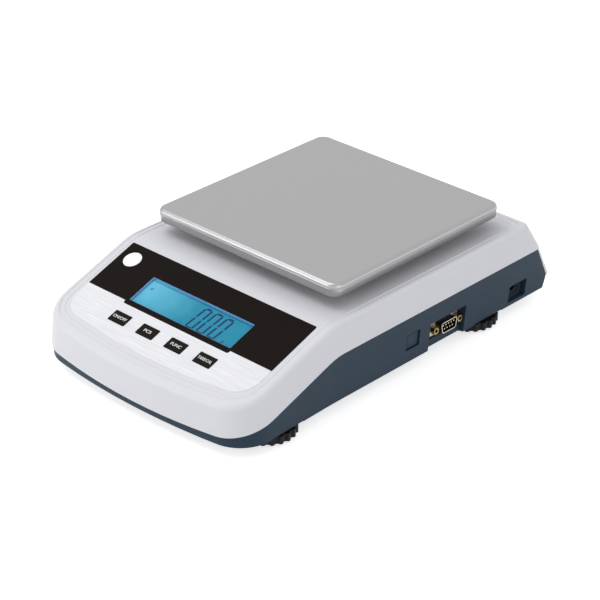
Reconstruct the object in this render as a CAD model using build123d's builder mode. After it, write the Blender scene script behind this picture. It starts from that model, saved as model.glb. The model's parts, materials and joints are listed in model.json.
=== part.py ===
from build123d import *
import os
from math import cos, pi, radians, sin, tan

os.makedirs("parts", exist_ok=True)

# Millimetres. X runs to the right of someone at the keys, Y to the back, Z up.
# The origin is on the table, under the middle of the housing.

# Housing
body_length = 323.6
half_width = 99.9  # at the lower edge of the cover
deck_height = 68.0
base_bottom = 9.0
floor_thickness = 3.4
bow_radius = 574.0  # the bowed front, seen from above
corner_radius = 28.0
rear_corner_radius = 8.0
slope_angle = 19.4
bend_y = -0.2151 * body_length  # where the deck turns down into the slope
bend_half = 7.0
bend_steps = 4
cover_depth = 21.4
cover_draft = 5.9
base_draft = 5.7
rear_lean = 31.0
apron_height = 19.0  # lower edge of the cover at the back
apron_run = 15.0  # how far the seam runs back on its way down
apron_start = 22.3  # the seam turns down this far in front of the back edge
base_back_lean = 3.0  # the base's back edge lies this far in front of the seam's end
wall = 2.5
edge_round = 4.4
bottom_round = 0.8
seam_gap = 0.3
seam_inset = 0.5
panel_step = 0.3  # the deck and slope lie this much below their rounded border
panel_margin = 0.4
panel_corner = 6.0

# Weighing platform
pan_width = 170.0
pan_depth = 170.0
pan_top = 87.0
pan_height = 9.5
pan_sheet = 1.0
pan_corner = 6.5
pan_round = 3.0
pan_center_y = 0.0896 * body_length
pan_seat_gap = 0.2
cushion_radius = 6.0
cushion_height = 2.8
cushion_stem_radius = 2.9
arm_reach = 76.0
arm_width = 14.0
arm_thickness = 4.0
arm_end_radius = 9.0
post_radius = 11.0
post_foot_radius = 13.5
post_foot_height = 3.0
deck_hole_radius = 14.5
deck_collar_width = 3.0
deck_collar_height = 2.2
bridge_width = 44.0
bridge_thickness = 4.0
bridge_overhang = 22.0  # past the post, towards the front
cell_length = 130.0
cell_width = 24.0
cell_height = 24.0
cell_bore_radius = 7.0
cell_bore_spacing = 30.0
cell_slot_height = 6.0
cell_end_length = 30.0
lower_spacer_height = 5.0
upper_spacer_height = 4.0
chassis_width = 104.0
chassis_overhang = 5.5  # past each end of the load cell
chassis_thickness = 3.0
chassis_height = 17.0  # underside of the plate
chassis_screw_x = 44.0
chassis_screw_inset = 8.0
gauge_length = 9.0
gauge_width = 6.0
gauge_thickness = 0.3
post_screw_x = 5.5
post_screw_seat = 62.0
post_screw_length = 8.5
cell_screw_spacing = 15.0
cell_screw_depth = 10.0
stop_inset = 8.0  # from the back end of the load cell
stop_radius = 3.0
stop_bottom = 14.5
stop_gap = 0.3
stop_nut_across = 10.0
stop_nut_height = 2.5

# Screws and holes
screw_clearance = 0.05  # radial, screw to its own hole
m5_radius = 2.5
m5_head_radius = 4.2
m5_head_height = 4.0
m4_radius = 2.0
m4_head_radius = 3.4
m4_head_height = 1.9
m3_radius = 1.5
m3_head_radius = 2.8
m3_head_height = 2.0
m2_radius = 1.1
m2_head_radius = 2.2
m2_head_height = 1.4

# Display and keys, along the slope from the bend
film_thickness = 0.25
film_side_margin = 13.9  # from the edge of the housing
film_back = 5.8
film_front_margin = 15.34  # from the front edge of the slope
film_corner = 14.0
film_back_corner = 1.0
window_width = 96.1
window_length = 24.3
window_place = 0.4405  # as a share of the film's front edge, as are the next places
window_rim = 0.9  # of the clear film, lying on the cover
window_fit = 0.05
key_pitch = 27.0
key_width = 15.45
key_length = 9.45
key_place = 0.7864
key_corner = 0.8
key_edge = 0.3
key_proud = 0.7
key_clearance = 0.15
key_hole_clearance = 0.3
key_flange = 1.5
key_flange_thickness = 0.8
key_stem_radius = 1.7
key_travel = 0.6
under_gap = 0.25  # between the cover's inside and what lies against it
switch_size = 6.0
switch_height = 3.1
key_stem_fit = 0.1
key_stem_end = 6.6  # below the panel
key_stem_bore_end = 7.5
board_thickness = 1.6
display_board_depth = 8.3  # top of the board below the panel
display_board_half_width = 65.5
display_board_back_place = 0.2063
display_board_front_place = 0.9466
display_screw_x = 60.0
display_screw_inset = 4.5
display_screw_depth = 3.5
display_boss_radius = 3.0
lcd_frame_wall = 1.6
lcd_frame_top = 2.2  # below the panel
lcd_frame_lip = 0.5
lcd_lip_margin = 0.4
lcd_glass_margin = 2.0
lcd_glass_top = 2.8
lcd_glass_thickness = 2.2
lcd_gap = 0.2
lcd_stack_gap = 0.05
zebra_length = 94.0
zebra_thickness = 1.4
zebra_offset = 12.9
backlight_length = 92.0
backlight_width = 22.6
buzzer_radius = 6.0
buzzer_height = 5.0
buzzer_x = 30.0
buzzer_place = 0.364
level_side_inset = 11.2  # from the side of the film
level_place = 0.228
level_radius = 6.8
level_clearance = 0.2
level_rim = 0.8
level_lens_thickness = 1.2
level_pool_depth = 1.4
level_depth = 9.0
level_flange_radius = 8.4
level_flange_thickness = 1.2

# Electronics on the right-hand side
main_board_top = 15.2
main_board_inner_x = 56.0
main_board_front_y = 0.0742 * body_length
main_board_back_y = 0.4064 * body_length
main_board_side_gap = 2.8  # from the panel of the recesses
main_board_boss_radius = 3.0
recess_depth = 8.1  # of the panel behind the connectors, from the widest point
recess_panel_thickness = 2.0
serial_y = 0.1468 * body_length
serial_z = 21.0
serial_recess_front = 21.7  # from the connector's middle
serial_recess_back = 15.8
serial_recess_top = 31.2
flange_width = 30.8
flange_height = 12.5
flange_thickness = 0.8
flange_corner = 1.2
flange_setback = 1.6  # behind the face of the recess panel
shell_width = 16.9
shell_height = 8.36
shell_slant = 10.0
shell_corner = 1.9
shell_wall = 0.5
shell_length = 6.0
serial_body_width = 19.0
serial_body_height = 10.6
serial_body_length = 12.2
pin_radius = 0.5
pin_fit = 0.02
pin_pitch = 2.77
pin_row_gap = 2.84
pin_length = 5.2
screw_spacing = 24.99
jack_screw_across = 4.8
jack_stud_radius = 1.9
serial_bar = 3.0
serial_lining = 0.6
jack_screw_length = 5.0
jack_screw_hole_radius = 1.42
jack_screw_hole_depth = 4.5
power_y = 0.37454 * body_length
power_z = 20.6
power_body_width = 12.0
power_body_height = 10.6
power_body_length = 15.0
power_setback = 0.2
power_bore_radius = 3.1
power_bore_depth = 9.5
power_pin_radius = 1.0
power_pin_root = 2.0
power_recess_half = 9.5
power_recess_top = 26.0
port_clearance = 0.3
port_wall = 2.0
port_wall_depth = 4.9  # from the widest point of the housing
blank_y = 0.02534 * body_length
blank_z = 25.8
blank_width = 13.4
blank_height = 12.5
blank_depth = 1.0
chip_sizes = [
    (66.0, 0.22713 * body_length, 14.0, 14.0, 1.6),
    (62.5, 0.27194 * body_length, 10.0, 8.0, 1.4),
    (62.5, 0.31211 * body_length, 9.0, 7.0, 1.4),
]
capacitor_places = [(62.0, 0.35847 * body_length), (71.5, 0.33375 * body_length)]
board_screw_inset = 4.0
capacitor_radius = 3.6
capacitor_height = 9.0
header_height = 5.5
header_width = 8.0
header_length = 6.0
header_wall_gap = 0.1
ribbon_x = 61.0
ribbon_width = 6.5
ribbon_thickness = 0.9
ribbon_place = 0.558
ribbon_level = 30.0
ribbon_lift = 1.0
ribbon_bend = 3.0
ribbon_end_y = 0.10507 * body_length
cell_lead_radius = 2.0
cell_lead_start = 15.0  # from the front end of the load cell
cell_lead_x = 49.0
cell_header_y = 0.18541 * body_length
battery_lead_radius = 1.5
battery_lead_start = 10.0  # behind the middle of the battery
battery_lead_x = 54.5
battery_lead_level = 25.0
battery_header_x = 70.0
battery_header_y = 0.08498 * body_length

# Battery
battery_length = 76.0
battery_width = 40.0
battery_height = 19.0
battery_corner = 5.0
battery_y = -0.309 * body_length
battery_gap = 0.2
door_length = 98.0
door_width = 50.0
door_plug_length = 79.4
door_plug_width = 43.4
door_clearance = 0.3
door_rim_thickness = 1.2
door_corner = 2.0
door_screw_x = 44.5
door_screw_length = 6.6
door_boss_radius = 3.0
door_boss_top = 17.0
battery_rib_thickness = 1.5
battery_rib_top = 20.0

# Levelling feet
foot_inset = 21.7
front_foot_y = -0.3486 * body_length
rear_foot_y = 0.2812 * body_length
pad_radius = 13.0
pad_height = 2.0
pad_pin_radius = 3.0
pad_pin_height = 2.6
pad_pin_fit = 0.1
wheel_radius = 20.4  # over the ribs
wheel_thickness = 5.8
wheel_ribs = 20
wheel_rib_radius = 1.9
wheel_root = 1.6
wheel_round = 0.8
foot_gap = 0.2
stud_radius = 4.0
stud_top = 34.0
stud_fit = 0.05
stud_start = 3.2  # above the wheel's underside
stud_hole_clearance = 0.3
insert_bottom = 12.9
insert_radius = 6.0
insert_fit = 0.02
insert_height = 12.0
boss_radius = 9.0
relief_half = 15.3
relief_depth = 1.0
relief_inner = 18.0

# Housing screws
cover_boss_radius = 4.0
base_boss_radius = 4.8
boss_meet = 24.0
boss_gap = 0.3
housing_screw_seat = 19.9
housing_screw_length = 14.0
housing_screw_clearance = 0.2
housing_screw_head_clearance = 0.3
cover_screw_depth = 11.0
rear_screw_x = 40.0
rear_screw_inset = 4.4  # from the back edge of the deck

# Worked out from the sizes above
slope_rad = radians(slope_angle)
slope_fall = tan(slope_rad)
nose_y = -body_length / 2
seam_level = deck_height - cover_depth
rear_top_y = body_length / 2 - (deck_height - apron_height) * tan(radians(rear_lean))
seam_turn_y = body_length / 2 - apron_start
floor_top = base_bottom + floor_thickness
chassis_top = chassis_height + chassis_thickness
cell_bottom = chassis_top + lower_spacer_height
cell_top = cell_bottom + cell_height
bridge_bottom = cell_top + upper_spacer_height
bridge_top = bridge_bottom + bridge_thickness
cell_front_y = pan_center_y - cell_length / 2
cell_back_y = pan_center_y + cell_length / 2
cell_lead_start_y = cell_front_y + cell_lead_start
chassis_length = cell_length + 2 * chassis_overhang
stop_y = cell_back_y - stop_inset
battery_lead_start_y = battery_y + battery_lead_start
cushion_top = pan_top - pan_sheet - pan_seat_gap
arm_top = cushion_top - cushion_height
arm_bottom = arm_top - arm_thickness
cover_under = (wall - panel_step) * cos(slope_rad)  # inside of the cover below the panel
film_front = (bend_y - nose_y) / cos(slope_rad) - film_front_margin
film_half_width = half_width - film_side_margin
window_center = window_place * film_front
key_center = key_place * film_front
buzzer_along = buzzer_place * film_front
ribbon_along = ribbon_place * film_front
level_along = level_place * film_front
level_x = level_side_inset - film_half_width
display_board_back = display_board_back_place * film_front
display_board_front = display_board_front_place * film_front
recess_panel_x = half_width - recess_depth
flange_front_x = recess_panel_x - flange_setback
serial_body_back_x = flange_front_x - serial_body_length
power_front_x = recess_panel_x - power_setback
port_wall_outer_x = half_width - port_wall_depth
main_board_outer_x = recess_panel_x - main_board_side_gap
foot_x = half_width - foot_inset
slope = Plane(
    origin=(0, bend_y, deck_height - panel_step),
    x_dir=(1, 0, 0),
    z_dir=(0, -sin(slope_rad), cos(slope_rad)),
)
foot_places = {
    "front_left": (-foot_x, front_foot_y),
    "front_right": (foot_x, front_foot_y),
    "rear_left": (-foot_x, rear_foot_y),
    "rear_right": (foot_x, rear_foot_y),
}
chassis_screw_places = [
    (side * chassis_screw_x, pan_center_y + end * (chassis_length / 2 - chassis_screw_inset))
    for side in (-1, 1)
    for end in (-1, 1)
]
main_board_screw_places = [
    (main_board_inner_x + board_screw_inset, 0.39246 * body_length),
    (main_board_inner_x + board_screw_inset, 0.13906 * body_length),
    (main_board_outer_x - board_screw_inset, 0.21632 * body_length),
    (main_board_outer_x - board_screw_inset, 0.33684 * body_length),
]
display_screw_places = [
    (side * display_screw_x, -along)
    for side in (-1, 1)
    for along in (display_board_back + display_screw_inset, display_board_front - display_screw_inset)
]
housing_screw_places = [
    (half_width - 29.9, -0.4265 * body_length),
    (half_width - 15.9, -0.1236 * body_length),
    (rear_screw_x, rear_top_y - rear_screw_inset),
]
housing_screws_xy = [(side * x, y) for x, y in housing_screw_places for side in (-1, 1)]
key_places = {
    "key_power": -1.5 * key_pitch,
    "key_count": -0.5 * key_pitch,
    "key_function": 0.5 * key_pitch,
    "key_tare": 1.5 * key_pitch,
}
main_board_bottom = main_board_top - board_thickness
display_board_bottom = display_board_depth + board_thickness
glass_length = window_width + 2 * lcd_glass_margin
glass_width = window_length + 2 * lcd_glass_margin
glass_bottom = lcd_glass_top + lcd_glass_thickness
key_flange_top = cover_under + under_gap
cell_screw_ys = [(cell_front_y + cell_end_length / 2), (cell_back_y - cell_end_length / 2)]


def save(part, name):
    """Writes one piece to its file."""
    part.label = name
    export_step(part, "parts/" + name + ".step")


def plan_outline(level, inset):
    """The housing seen from above at the seam, drawn in by inset."""
    side_y = nose_y + bow_radius - (bow_radius**2 - half_width**2) ** 0.5
    with BuildSketch(Plane.XY.offset(level)) as outline:
        with BuildLine():
            ThreePointArc((-half_width, side_y), (0, nose_y), (half_width, side_y))
            Polyline(
                (half_width, side_y),
                (half_width, body_length),
                (-half_width, body_length),
                (-half_width, side_y),
            )
        make_face()
        fillet(outline.vertices().group_by(Axis.Y)[0], corner_radius)
        if inset:
            offset(amount=-inset, mode=Mode.REPLACE)
    return outline.sketch


def rear_plane(inset):
    """The leaning back of the housing, moved in by inset."""
    lean = radians(rear_lean)
    start = (0, rear_top_y - inset / cos(lean), deck_height)
    return Plane(origin=start, x_dir=(1, 0, 0), z_dir=(0, cos(lean), sin(lean)))


def leaning_edges(solid):
    """The two edges between the sides and the leaning back."""
    back = solid.faces().sort_by(Axis.Y)[-1]
    return [edge for edge in back.edges() if abs((edge @ 1 - edge @ 0).Z) > 3]


def upper_block(inset, height, rounding):
    """The space of the cover, still flat on top, from the seam up."""
    outline = plan_outline(seam_level, inset)
    with BuildPart() as block:
        extrude(outline, amount=height, taper=cover_draft)
        split(bisect_by=rear_plane(inset), keep=Keep.BOTTOM)
        fillet(leaning_edges(block), max(rear_corner_radius - inset, 1.0))
        fillet(block.faces().sort_by(Axis.Z)[-1].edges(), rounding)
    return block.part


def lower_block(inset, rise):
    """The space of the base, from rise above the seam down past its underside."""
    top_inset = inset - rise * tan(radians(base_draft))
    depth = seam_level + rise - base_bottom + 2 * wall
    outline = plan_outline(seam_level + rise, top_inset)
    with BuildPart() as block:
        extrude(outline, amount=-depth, taper=base_draft)
        split(bisect_by=rear_plane(inset), keep=Keep.BOTTOM)
        fillet(leaning_edges(block), max(rear_corner_radius - inset, 1.0))
    return block.part


def surface_drop(y):
    """How far the top surface lies below the deck at y: flat, a parabola over the bend, the slope."""
    if y >= bend_y + bend_half:
        return 0.0
    if y <= bend_y - bend_half:
        return (y - bend_y) * slope_fall
    return -slope_fall * (bend_y + bend_half - y) ** 2 / (4 * bend_half)


def follow_slope(block):
    """Lowers each slice of a flat block so that its top follows the deck and the slope."""
    reach = 2 * body_length
    inner = [bend_y - bend_half + 2 * bend_half * i / bend_steps for i in range(bend_steps + 1)]
    slices = []
    for low, high in zip([-reach] + inner, inner + [reach]):
        middle = (low + high) / 2
        piece = (block & (Pos(0, middle, 0) * Box(reach, high - low, reach))).solids()[0]
        fall = (surface_drop(high) - surface_drop(low)) / (high - low)
        if high == reach:
            fall = 0.0
        lift = surface_drop(inner[0]) - fall * inner[0] if low == -reach else surface_drop(low) - fall * low
        if fall:
            shear = Matrix([[1, 0, 0, 0], [0, 1, 0, 0], [0, fall, 1, lift], [0, 0, 0, 1]])
            piece = piece.transform_geometry(shear)
        slices.append(piece)
    return slices[0].fuse(*slices[1:])


def apron_region(shift):
    """The room behind the slanting seam, down to the cover's rear edge; shift moves the seam back."""
    end_y = seam_turn_y + apron_run + shift
    with BuildPart() as region:
        with BuildSketch(Plane.YZ):
            with BuildLine():
                Polyline(
                    (seam_turn_y + shift, seam_level + wall),
                    (seam_turn_y + shift, seam_level),
                    (end_y, apron_height),
                    (end_y - base_back_lean, base_bottom - wall),
                    (body_length, base_bottom - wall),
                    (body_length, seam_level + wall),
                    close=True,
                )
            make_face()
        extrude(amount=half_width * 2, both=True)
    return region.part


def above(level):
    """Everything higher than level."""
    size = 2 * body_length
    return Pos(0, 0, level + size / 2) * Box(size, size, size, mode=Mode.PRIVATE)


def below(level):
    """Everything lower than level."""
    size = 2 * body_length
    return Pos(0, 0, level - size / 2) * Box(size, size, size, mode=Mode.PRIVATE)


def side_x(level):
    """Outer face of the base's side wall at a height."""
    return half_width - seam_inset - (seam_level - level) * tan(radians(base_draft))


def surface_height(y):
    """Height of the cover's outside at y."""
    return deck_height + surface_drop(y)


# The cover: hollow block with a sunk top panel, bent to the slope, with a rear apron
cover_flat = upper_block(0, cover_depth, edge_round)
cover_room = upper_block(wall, cover_depth - wall, edge_round - wall)
panel_inset = (cover_depth - edge_round) * tan(radians(cover_draft)) + edge_round + panel_margin
panel_outline = plan_outline(deck_height, panel_inset)
with BuildPart() as cover_shell:
    add(cover_flat)
    add(cover_room, mode=Mode.SUBTRACT)
    with BuildSketch(Plane.XY.offset(deck_height)) as panel:
        add(panel_outline)
        with Locations((0, rear_top_y - edge_round - panel_margin + body_length / 2)):
            Rectangle(3 * half_width, body_length, mode=Mode.SUBTRACT)
        fillet(panel.vertices().group_by(Axis.Y)[-1], panel_corner)
    extrude(amount=-panel_step, mode=Mode.SUBTRACT)

apron_solid = lower_block(0, 0) & apron_region(0)
apron_room = lower_block(wall, 0) & above(apron_height + wall)
with BuildPart() as apron:
    add(apron_solid)
    add(below(apron_height), mode=Mode.SUBTRACT)
    add(apron_room, mode=Mode.SUBTRACT)

cover_bent = follow_slope(cover_shell.part)
with BuildPart() as top_cover:
    add(cover_bent)
    add(apron.part)
    # bosses for the housing screws
    for x, y in housing_screws_xy:
        with BuildSketch(Plane.XY.offset(boss_meet)):
            with Locations((x, y)):
                Circle(cover_boss_radius)
        extrude(amount=surface_height(y) - boss_meet - cover_boss_radius * slope_fall - 2 * panel_step)
        with BuildSketch(Plane.XY.offset(boss_meet)):
            with Locations((x, y)):
                Circle(m3_radius + screw_clearance)
        extrude(amount=cover_screw_depth, mode=Mode.SUBTRACT)
    # bosses for the display board
    with BuildSketch(slope.offset(-display_board_depth)):
        with Locations(*display_screw_places):
            Circle(display_boss_radius)
    extrude(amount=display_board_depth - cover_under / 2)
    with BuildSketch(slope.offset(-display_board_depth)):
        with Locations(*display_screw_places):
            Circle(m2_radius + screw_clearance)
    extrude(amount=display_screw_depth + 2 * screw_clearance, mode=Mode.SUBTRACT)
    # openings for the display, the keys and the level
    with BuildSketch(slope.offset(-wall * 2)):
        with Locations((0, -window_center)):
            Rectangle(window_width, window_length)
        with Locations(*[(x, -key_center) for x in key_places.values()]):
            Rectangle(key_width + 2 * key_hole_clearance, key_length + 2 * key_hole_clearance)
        with Locations((level_x, -level_along)):
            Circle(level_radius + level_clearance)
    extrude(amount=wall * 4, mode=Mode.SUBTRACT)
    # collar and hole for the pan support
    with BuildSketch(Plane.XY.offset(deck_height - wall / 2)):
        with Locations((0, pan_center_y)):
            Circle(deck_hole_radius + deck_collar_width)
    extrude(amount=wall / 2 + deck_collar_height)
    with Locations((0, pan_center_y, deck_height)):
        Cylinder(deck_hole_radius, 4 * wall, mode=Mode.SUBTRACT)
save(top_cover.part, "top_cover")

# The base: hollow block with the rear strip cut away
base_solid = follow_slope(lower_block(seam_inset, -seam_gap))
base_room = follow_slope(lower_block(seam_inset + wall, wall))
behind_seam = apron_region(-seam_gap)
behind_back_wall = apron_region(-seam_gap - wall) & below(apron_height)
with BuildPart() as base_body:
    add(base_solid)
    add(below(base_bottom), mode=Mode.SUBTRACT)
    add(behind_seam, mode=Mode.SUBTRACT)
    fillet(base_body.faces().sort_by(Axis.Z)[0].outer_wire().edges(), bottom_round)

with BuildPart() as base_hollow:
    add(base_room)
    add(below(floor_top), mode=Mode.SUBTRACT)
    add(behind_back_wall, mode=Mode.SUBTRACT)

with BuildPart() as base_tray:
    add(base_body.part)
    add(base_hollow.part, mode=Mode.SUBTRACT)
    # inner walls of the two connector recesses
    recess_front_y = serial_y - serial_recess_front
    recess_back_y = serial_y + serial_recess_back
    recesses = [
        (recess_front_y, recess_back_y, base_bottom - wall, serial_recess_top),
        (power_y - power_recess_half, power_y + power_recess_half, floor_top, power_recess_top),
    ]
    for front_y, back_y, bottom, top in recesses:
        outer_x = port_wall_outer_x
        inner_x = recess_panel_x - recess_panel_thickness
        low = floor_top - bottom_round / 4
        high = top + port_wall
        with Locations(((inner_x + outer_x) / 2, (front_y + back_y) / 2, (low + high) / 2)):
            Box(outer_x - inner_x, back_y - front_y + 2 * port_wall, high - low)
        with Locations((recess_panel_x + wall * 4, (front_y + back_y) / 2, (bottom + top) / 2)):
            Box(wall * 8, back_y - front_y, top - bottom, mode=Mode.SUBTRACT)
    # windows in them for the connectors
    with Locations((recess_panel_x, serial_y, serial_z)):
        Box(
            wall * 2,
            flange_width + 4 * port_clearance,
            flange_height + 3 * port_clearance,
            mode=Mode.SUBTRACT,
        )
    with Locations((recess_panel_x, power_y, power_z)):
        Box(
            wall * 2,
            power_body_width + 2 * port_clearance,
            power_body_height + 2 * port_clearance,
            mode=Mode.SUBTRACT,
        )
    # closed square opening in the side
    blank_plane = Plane(
        origin=(side_x(blank_z), blank_y, blank_z),
        x_dir=(0, 1, 0),
        z_dir=(cos(radians(base_draft)), 0, -sin(radians(base_draft))),
    )
    with BuildSketch(blank_plane):
        Rectangle(blank_width, blank_height)
    extrude(amount=-blank_depth, mode=Mode.SUBTRACT)
    # bosses, standoffs and battery ribs on the floor
    with BuildSketch(Plane.XY.offset(floor_top - wall / 4)):
        with Locations(*foot_places.values()):
            Circle(boss_radius)
    extrude(amount=insert_bottom + insert_height - floor_top + wall / 4)
    with BuildSketch(Plane.XY.offset(floor_top - wall / 4)):
        with Locations(*housing_screws_xy):
            Circle(base_boss_radius)
    extrude(amount=boss_meet - boss_gap - floor_top + wall / 4)
    with BuildSketch(Plane.XY.offset(floor_top - wall / 4)):
        with Locations(*chassis_screw_places):
            Circle(m3_head_radius + 1.2)
    extrude(amount=chassis_height - floor_top + wall / 4)
    with BuildSketch(Plane.XY.offset(floor_top - wall / 4)):
        with Locations(*main_board_screw_places):
            Circle(main_board_boss_radius)
    extrude(amount=main_board_bottom - floor_top + wall / 4)
    with BuildSketch(Plane.XY.offset(floor_top - wall / 4)):
        with Locations((-door_screw_x, battery_y), (door_screw_x, battery_y)):
            Circle(door_boss_radius)
    extrude(amount=door_boss_top - floor_top + wall / 4)
    with BuildSketch(Plane.XY.offset(floor_top - wall / 4)):
        with Locations((0, battery_y)):
            rib_length = door_plug_length + 2 * door_clearance
            rib_width = door_plug_width + 2 * door_clearance
            Rectangle(rib_length + 2 * battery_rib_thickness, rib_width + 2 * battery_rib_thickness)
            Rectangle(rib_length, rib_width, mode=Mode.SUBTRACT)
    extrude(amount=battery_rib_top - floor_top + wall / 4)
    # battery door: stepped opening
    with BuildSketch(Plane.XY.offset(base_bottom)):
        with Locations((0, battery_y)):
            RectangleRounded(door_length + 2 * door_clearance, door_width + 2 * door_clearance, door_corner)
    extrude(amount=door_rim_thickness, mode=Mode.SUBTRACT)
    with BuildSketch(Plane.XY.offset(base_bottom)):
        with Locations((0, battery_y)):
            Rectangle(rib_length, rib_width)
    extrude(amount=floor_thickness + wall / 4, mode=Mode.SUBTRACT)
    # holes
    for x, y in foot_places.values():
        with Locations((x, y, insert_bottom + insert_height / 2)):
            Cylinder(insert_radius + insert_fit, insert_height, mode=Mode.SUBTRACT)
        with Locations((x, y, insert_bottom)):
            Cylinder(stud_radius + stud_hole_clearance, 4 * wall, mode=Mode.SUBTRACT)
        side = 1 if x > 0 else -1
        with Locations((x + side * (half_width - relief_inner) / 2, y, base_bottom)):
            Box(half_width + relief_inner, 2 * relief_half, 2 * relief_depth, mode=Mode.SUBTRACT)
    for x, y in housing_screws_xy:
        with Locations((x, y, housing_screw_seat / 2)):
            Cylinder(m3_head_radius + housing_screw_head_clearance, housing_screw_seat, mode=Mode.SUBTRACT)
        with Locations((x, y, housing_screw_seat)):
            Cylinder(m3_radius + housing_screw_clearance, 6 * wall, mode=Mode.SUBTRACT)
    with BuildSketch(Plane.XY.offset(chassis_height)):
        with Locations(*chassis_screw_places):
            Circle(m3_radius + screw_clearance)
    extrude(amount=floor_top - chassis_height, mode=Mode.SUBTRACT)
    with BuildSketch(Plane.XY.offset(main_board_bottom)):
        with Locations(*main_board_screw_places):
            Circle(m2_radius + screw_clearance)
    extrude(amount=floor_top - main_board_bottom - wall / 2, mode=Mode.SUBTRACT)
    with BuildSketch(Plane.XY.offset(base_bottom)):
        with Locations((-door_screw_x, battery_y), (door_screw_x, battery_y)):
            Circle(m2_radius + screw_clearance)
    extrude(amount=door_screw_length + 2 * screw_clearance, mode=Mode.SUBTRACT)
save(base_tray.part, "base_tray")


def pan_head_screw(radius, head_radius, head_height, length):
    """A screw with its shank up from the origin and its head below."""
    with BuildPart() as screw:
        Cylinder(radius, length, align=(Align.CENTER, Align.CENTER, Align.MIN))
        Cylinder(head_radius, head_height, align=(Align.CENTER, Align.CENTER, Align.MAX))
        fillet(screw.faces().sort_by(Axis.Z)[0].edges(), head_height / 4)
        with Locations((0, 0, -head_height)):
            Box(head_radius * 1.2, head_height / 4, head_height, mode=Mode.SUBTRACT)
            Box(head_height / 4, head_radius * 1.2, head_height, mode=Mode.SUBTRACT)
    return screw.part


# Housing screws, from below
housing_screw = pan_head_screw(m3_radius, m3_head_radius, m3_head_height, housing_screw_length)
with BuildPart() as housing_screws:
    for x, y in housing_screws_xy:
        add(Pos(x, y, housing_screw_seat) * housing_screw)
save(housing_screws.part, "housing_screws")

# Battery door and its screws
with BuildPart() as battery_door:
    with BuildSketch(Plane.XY.offset(base_bottom)):
        with Locations((0, battery_y)):
            RectangleRounded(door_length, door_width, door_corner - door_clearance)
    extrude(amount=door_rim_thickness - 2 * screw_clearance)
    with BuildSketch(Plane.XY.offset(base_bottom)):
        with Locations((0, battery_y)):
            Rectangle(door_plug_length, door_plug_width)
    extrude(amount=floor_thickness)
    with BuildSketch(Plane.XY.offset(base_bottom)):
        with Locations((-door_screw_x, battery_y), (door_screw_x, battery_y)):
            Circle(m2_radius + screw_clearance)
    extrude(amount=wall, mode=Mode.SUBTRACT)
save(battery_door.part, "battery_door")

door_screw = pan_head_screw(m2_radius, m2_head_radius, m2_head_height, door_screw_length)
with BuildPart() as battery_door_screws:
    for side in (-1, 1):
        add(Pos(side * door_screw_x, battery_y, base_bottom) * door_screw)
save(battery_door_screws.part, "battery_door_screws")

# Weighing pan: pressed sheet with a turned-down skirt
skirt_bottom = pan_top - pan_height
with BuildPart() as pan_inside:
    with BuildSketch(Plane.XY.offset(skirt_bottom)):
        with Locations((0, pan_center_y)):
            RectangleRounded(
                pan_width - 2 * pan_sheet, pan_depth - 2 * pan_sheet, pan_corner - pan_sheet
            )
    extrude(amount=pan_height - pan_sheet)
    fillet(pan_inside.faces().sort_by(Axis.Z)[-1].edges(), pan_round - pan_sheet)

with BuildPart() as weighing_pan:
    with BuildSketch(Plane.XY.offset(skirt_bottom)):
        with Locations((0, pan_center_y)):
            RectangleRounded(pan_width, pan_depth, pan_corner)
    extrude(amount=pan_height)
    fillet(weighing_pan.faces().sort_by(Axis.Z)[-1].edges(), pan_round)
    add(pan_inside.part, mode=Mode.SUBTRACT)
save(weighing_pan.part, "weighing_pan")

# Pan support: post with a cross on top
arm_ends = [
    (a * arm_reach * cos(pi / 4), pan_center_y + b * arm_reach * sin(pi / 4))
    for a in (-1, 1)
    for b in (-1, 1)
]
with BuildPart() as pan_support:
    with BuildSketch(Plane.XY.offset(arm_bottom)):
        with Locations((0, pan_center_y)):
            for turn in (45, 135):
                SlotOverall(2 * (arm_reach + arm_width / 2), arm_width, rotation=turn)
        with Locations(*arm_ends):
            Circle(arm_end_radius)
    extrude(amount=arm_thickness)
    with BuildSketch(Plane.XY.offset(bridge_top)):
        with Locations((0, pan_center_y)):
            Circle(post_radius)
    extrude(amount=arm_top - bridge_top)
    with BuildSketch(Plane.XY.offset(bridge_top)):
        with Locations((0, pan_center_y)):
            Circle(post_foot_radius)
    extrude(amount=post_foot_height)
    with BuildSketch(Plane.XY.offset(arm_bottom)):
        with Locations(*arm_ends):
            Circle(cushion_stem_radius + screw_clearance)
    extrude(amount=arm_thickness, mode=Mode.SUBTRACT)
    for side in (-1, 1):
        with BuildSketch(Plane.XY.offset(post_screw_seat)):
            with Locations((side * post_screw_x, pan_center_y)):
                Circle(m4_head_radius + housing_screw_head_clearance)
        extrude(amount=pan_height * 4, mode=Mode.SUBTRACT)
        with BuildSketch(Plane.XY.offset(bridge_top)):
            with Locations((side * post_screw_x, pan_center_y)):
                Circle(m4_radius + screw_clearance)
        extrude(amount=pan_height, mode=Mode.SUBTRACT)
save(pan_support.part, "pan_support")

with BuildPart() as pan_cushions:
    for x, y in arm_ends:
        with Locations((x, y, arm_top)):
            Cylinder(cushion_radius, cushion_height, align=(Align.CENTER, Align.CENTER, Align.MIN))
            Cylinder(cushion_stem_radius, arm_thickness, align=(Align.CENTER, Align.CENTER, Align.MAX))
    fillet(pan_cushions.faces().group_by(Axis.Z)[-1].edges(), cushion_height / 4)
save(pan_cushions.part, "pan_cushions")

post_screw = pan_head_screw(m4_radius, m4_head_radius, m4_head_height, post_screw_length)
with BuildPart() as pan_support_screws:
    for side in (-1, 1):
        add(Pos(side * post_screw_x, pan_center_y, post_screw_seat) * Rot(180, 0, 0) * post_screw)
save(pan_support_screws.part, "pan_support_screws")

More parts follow.
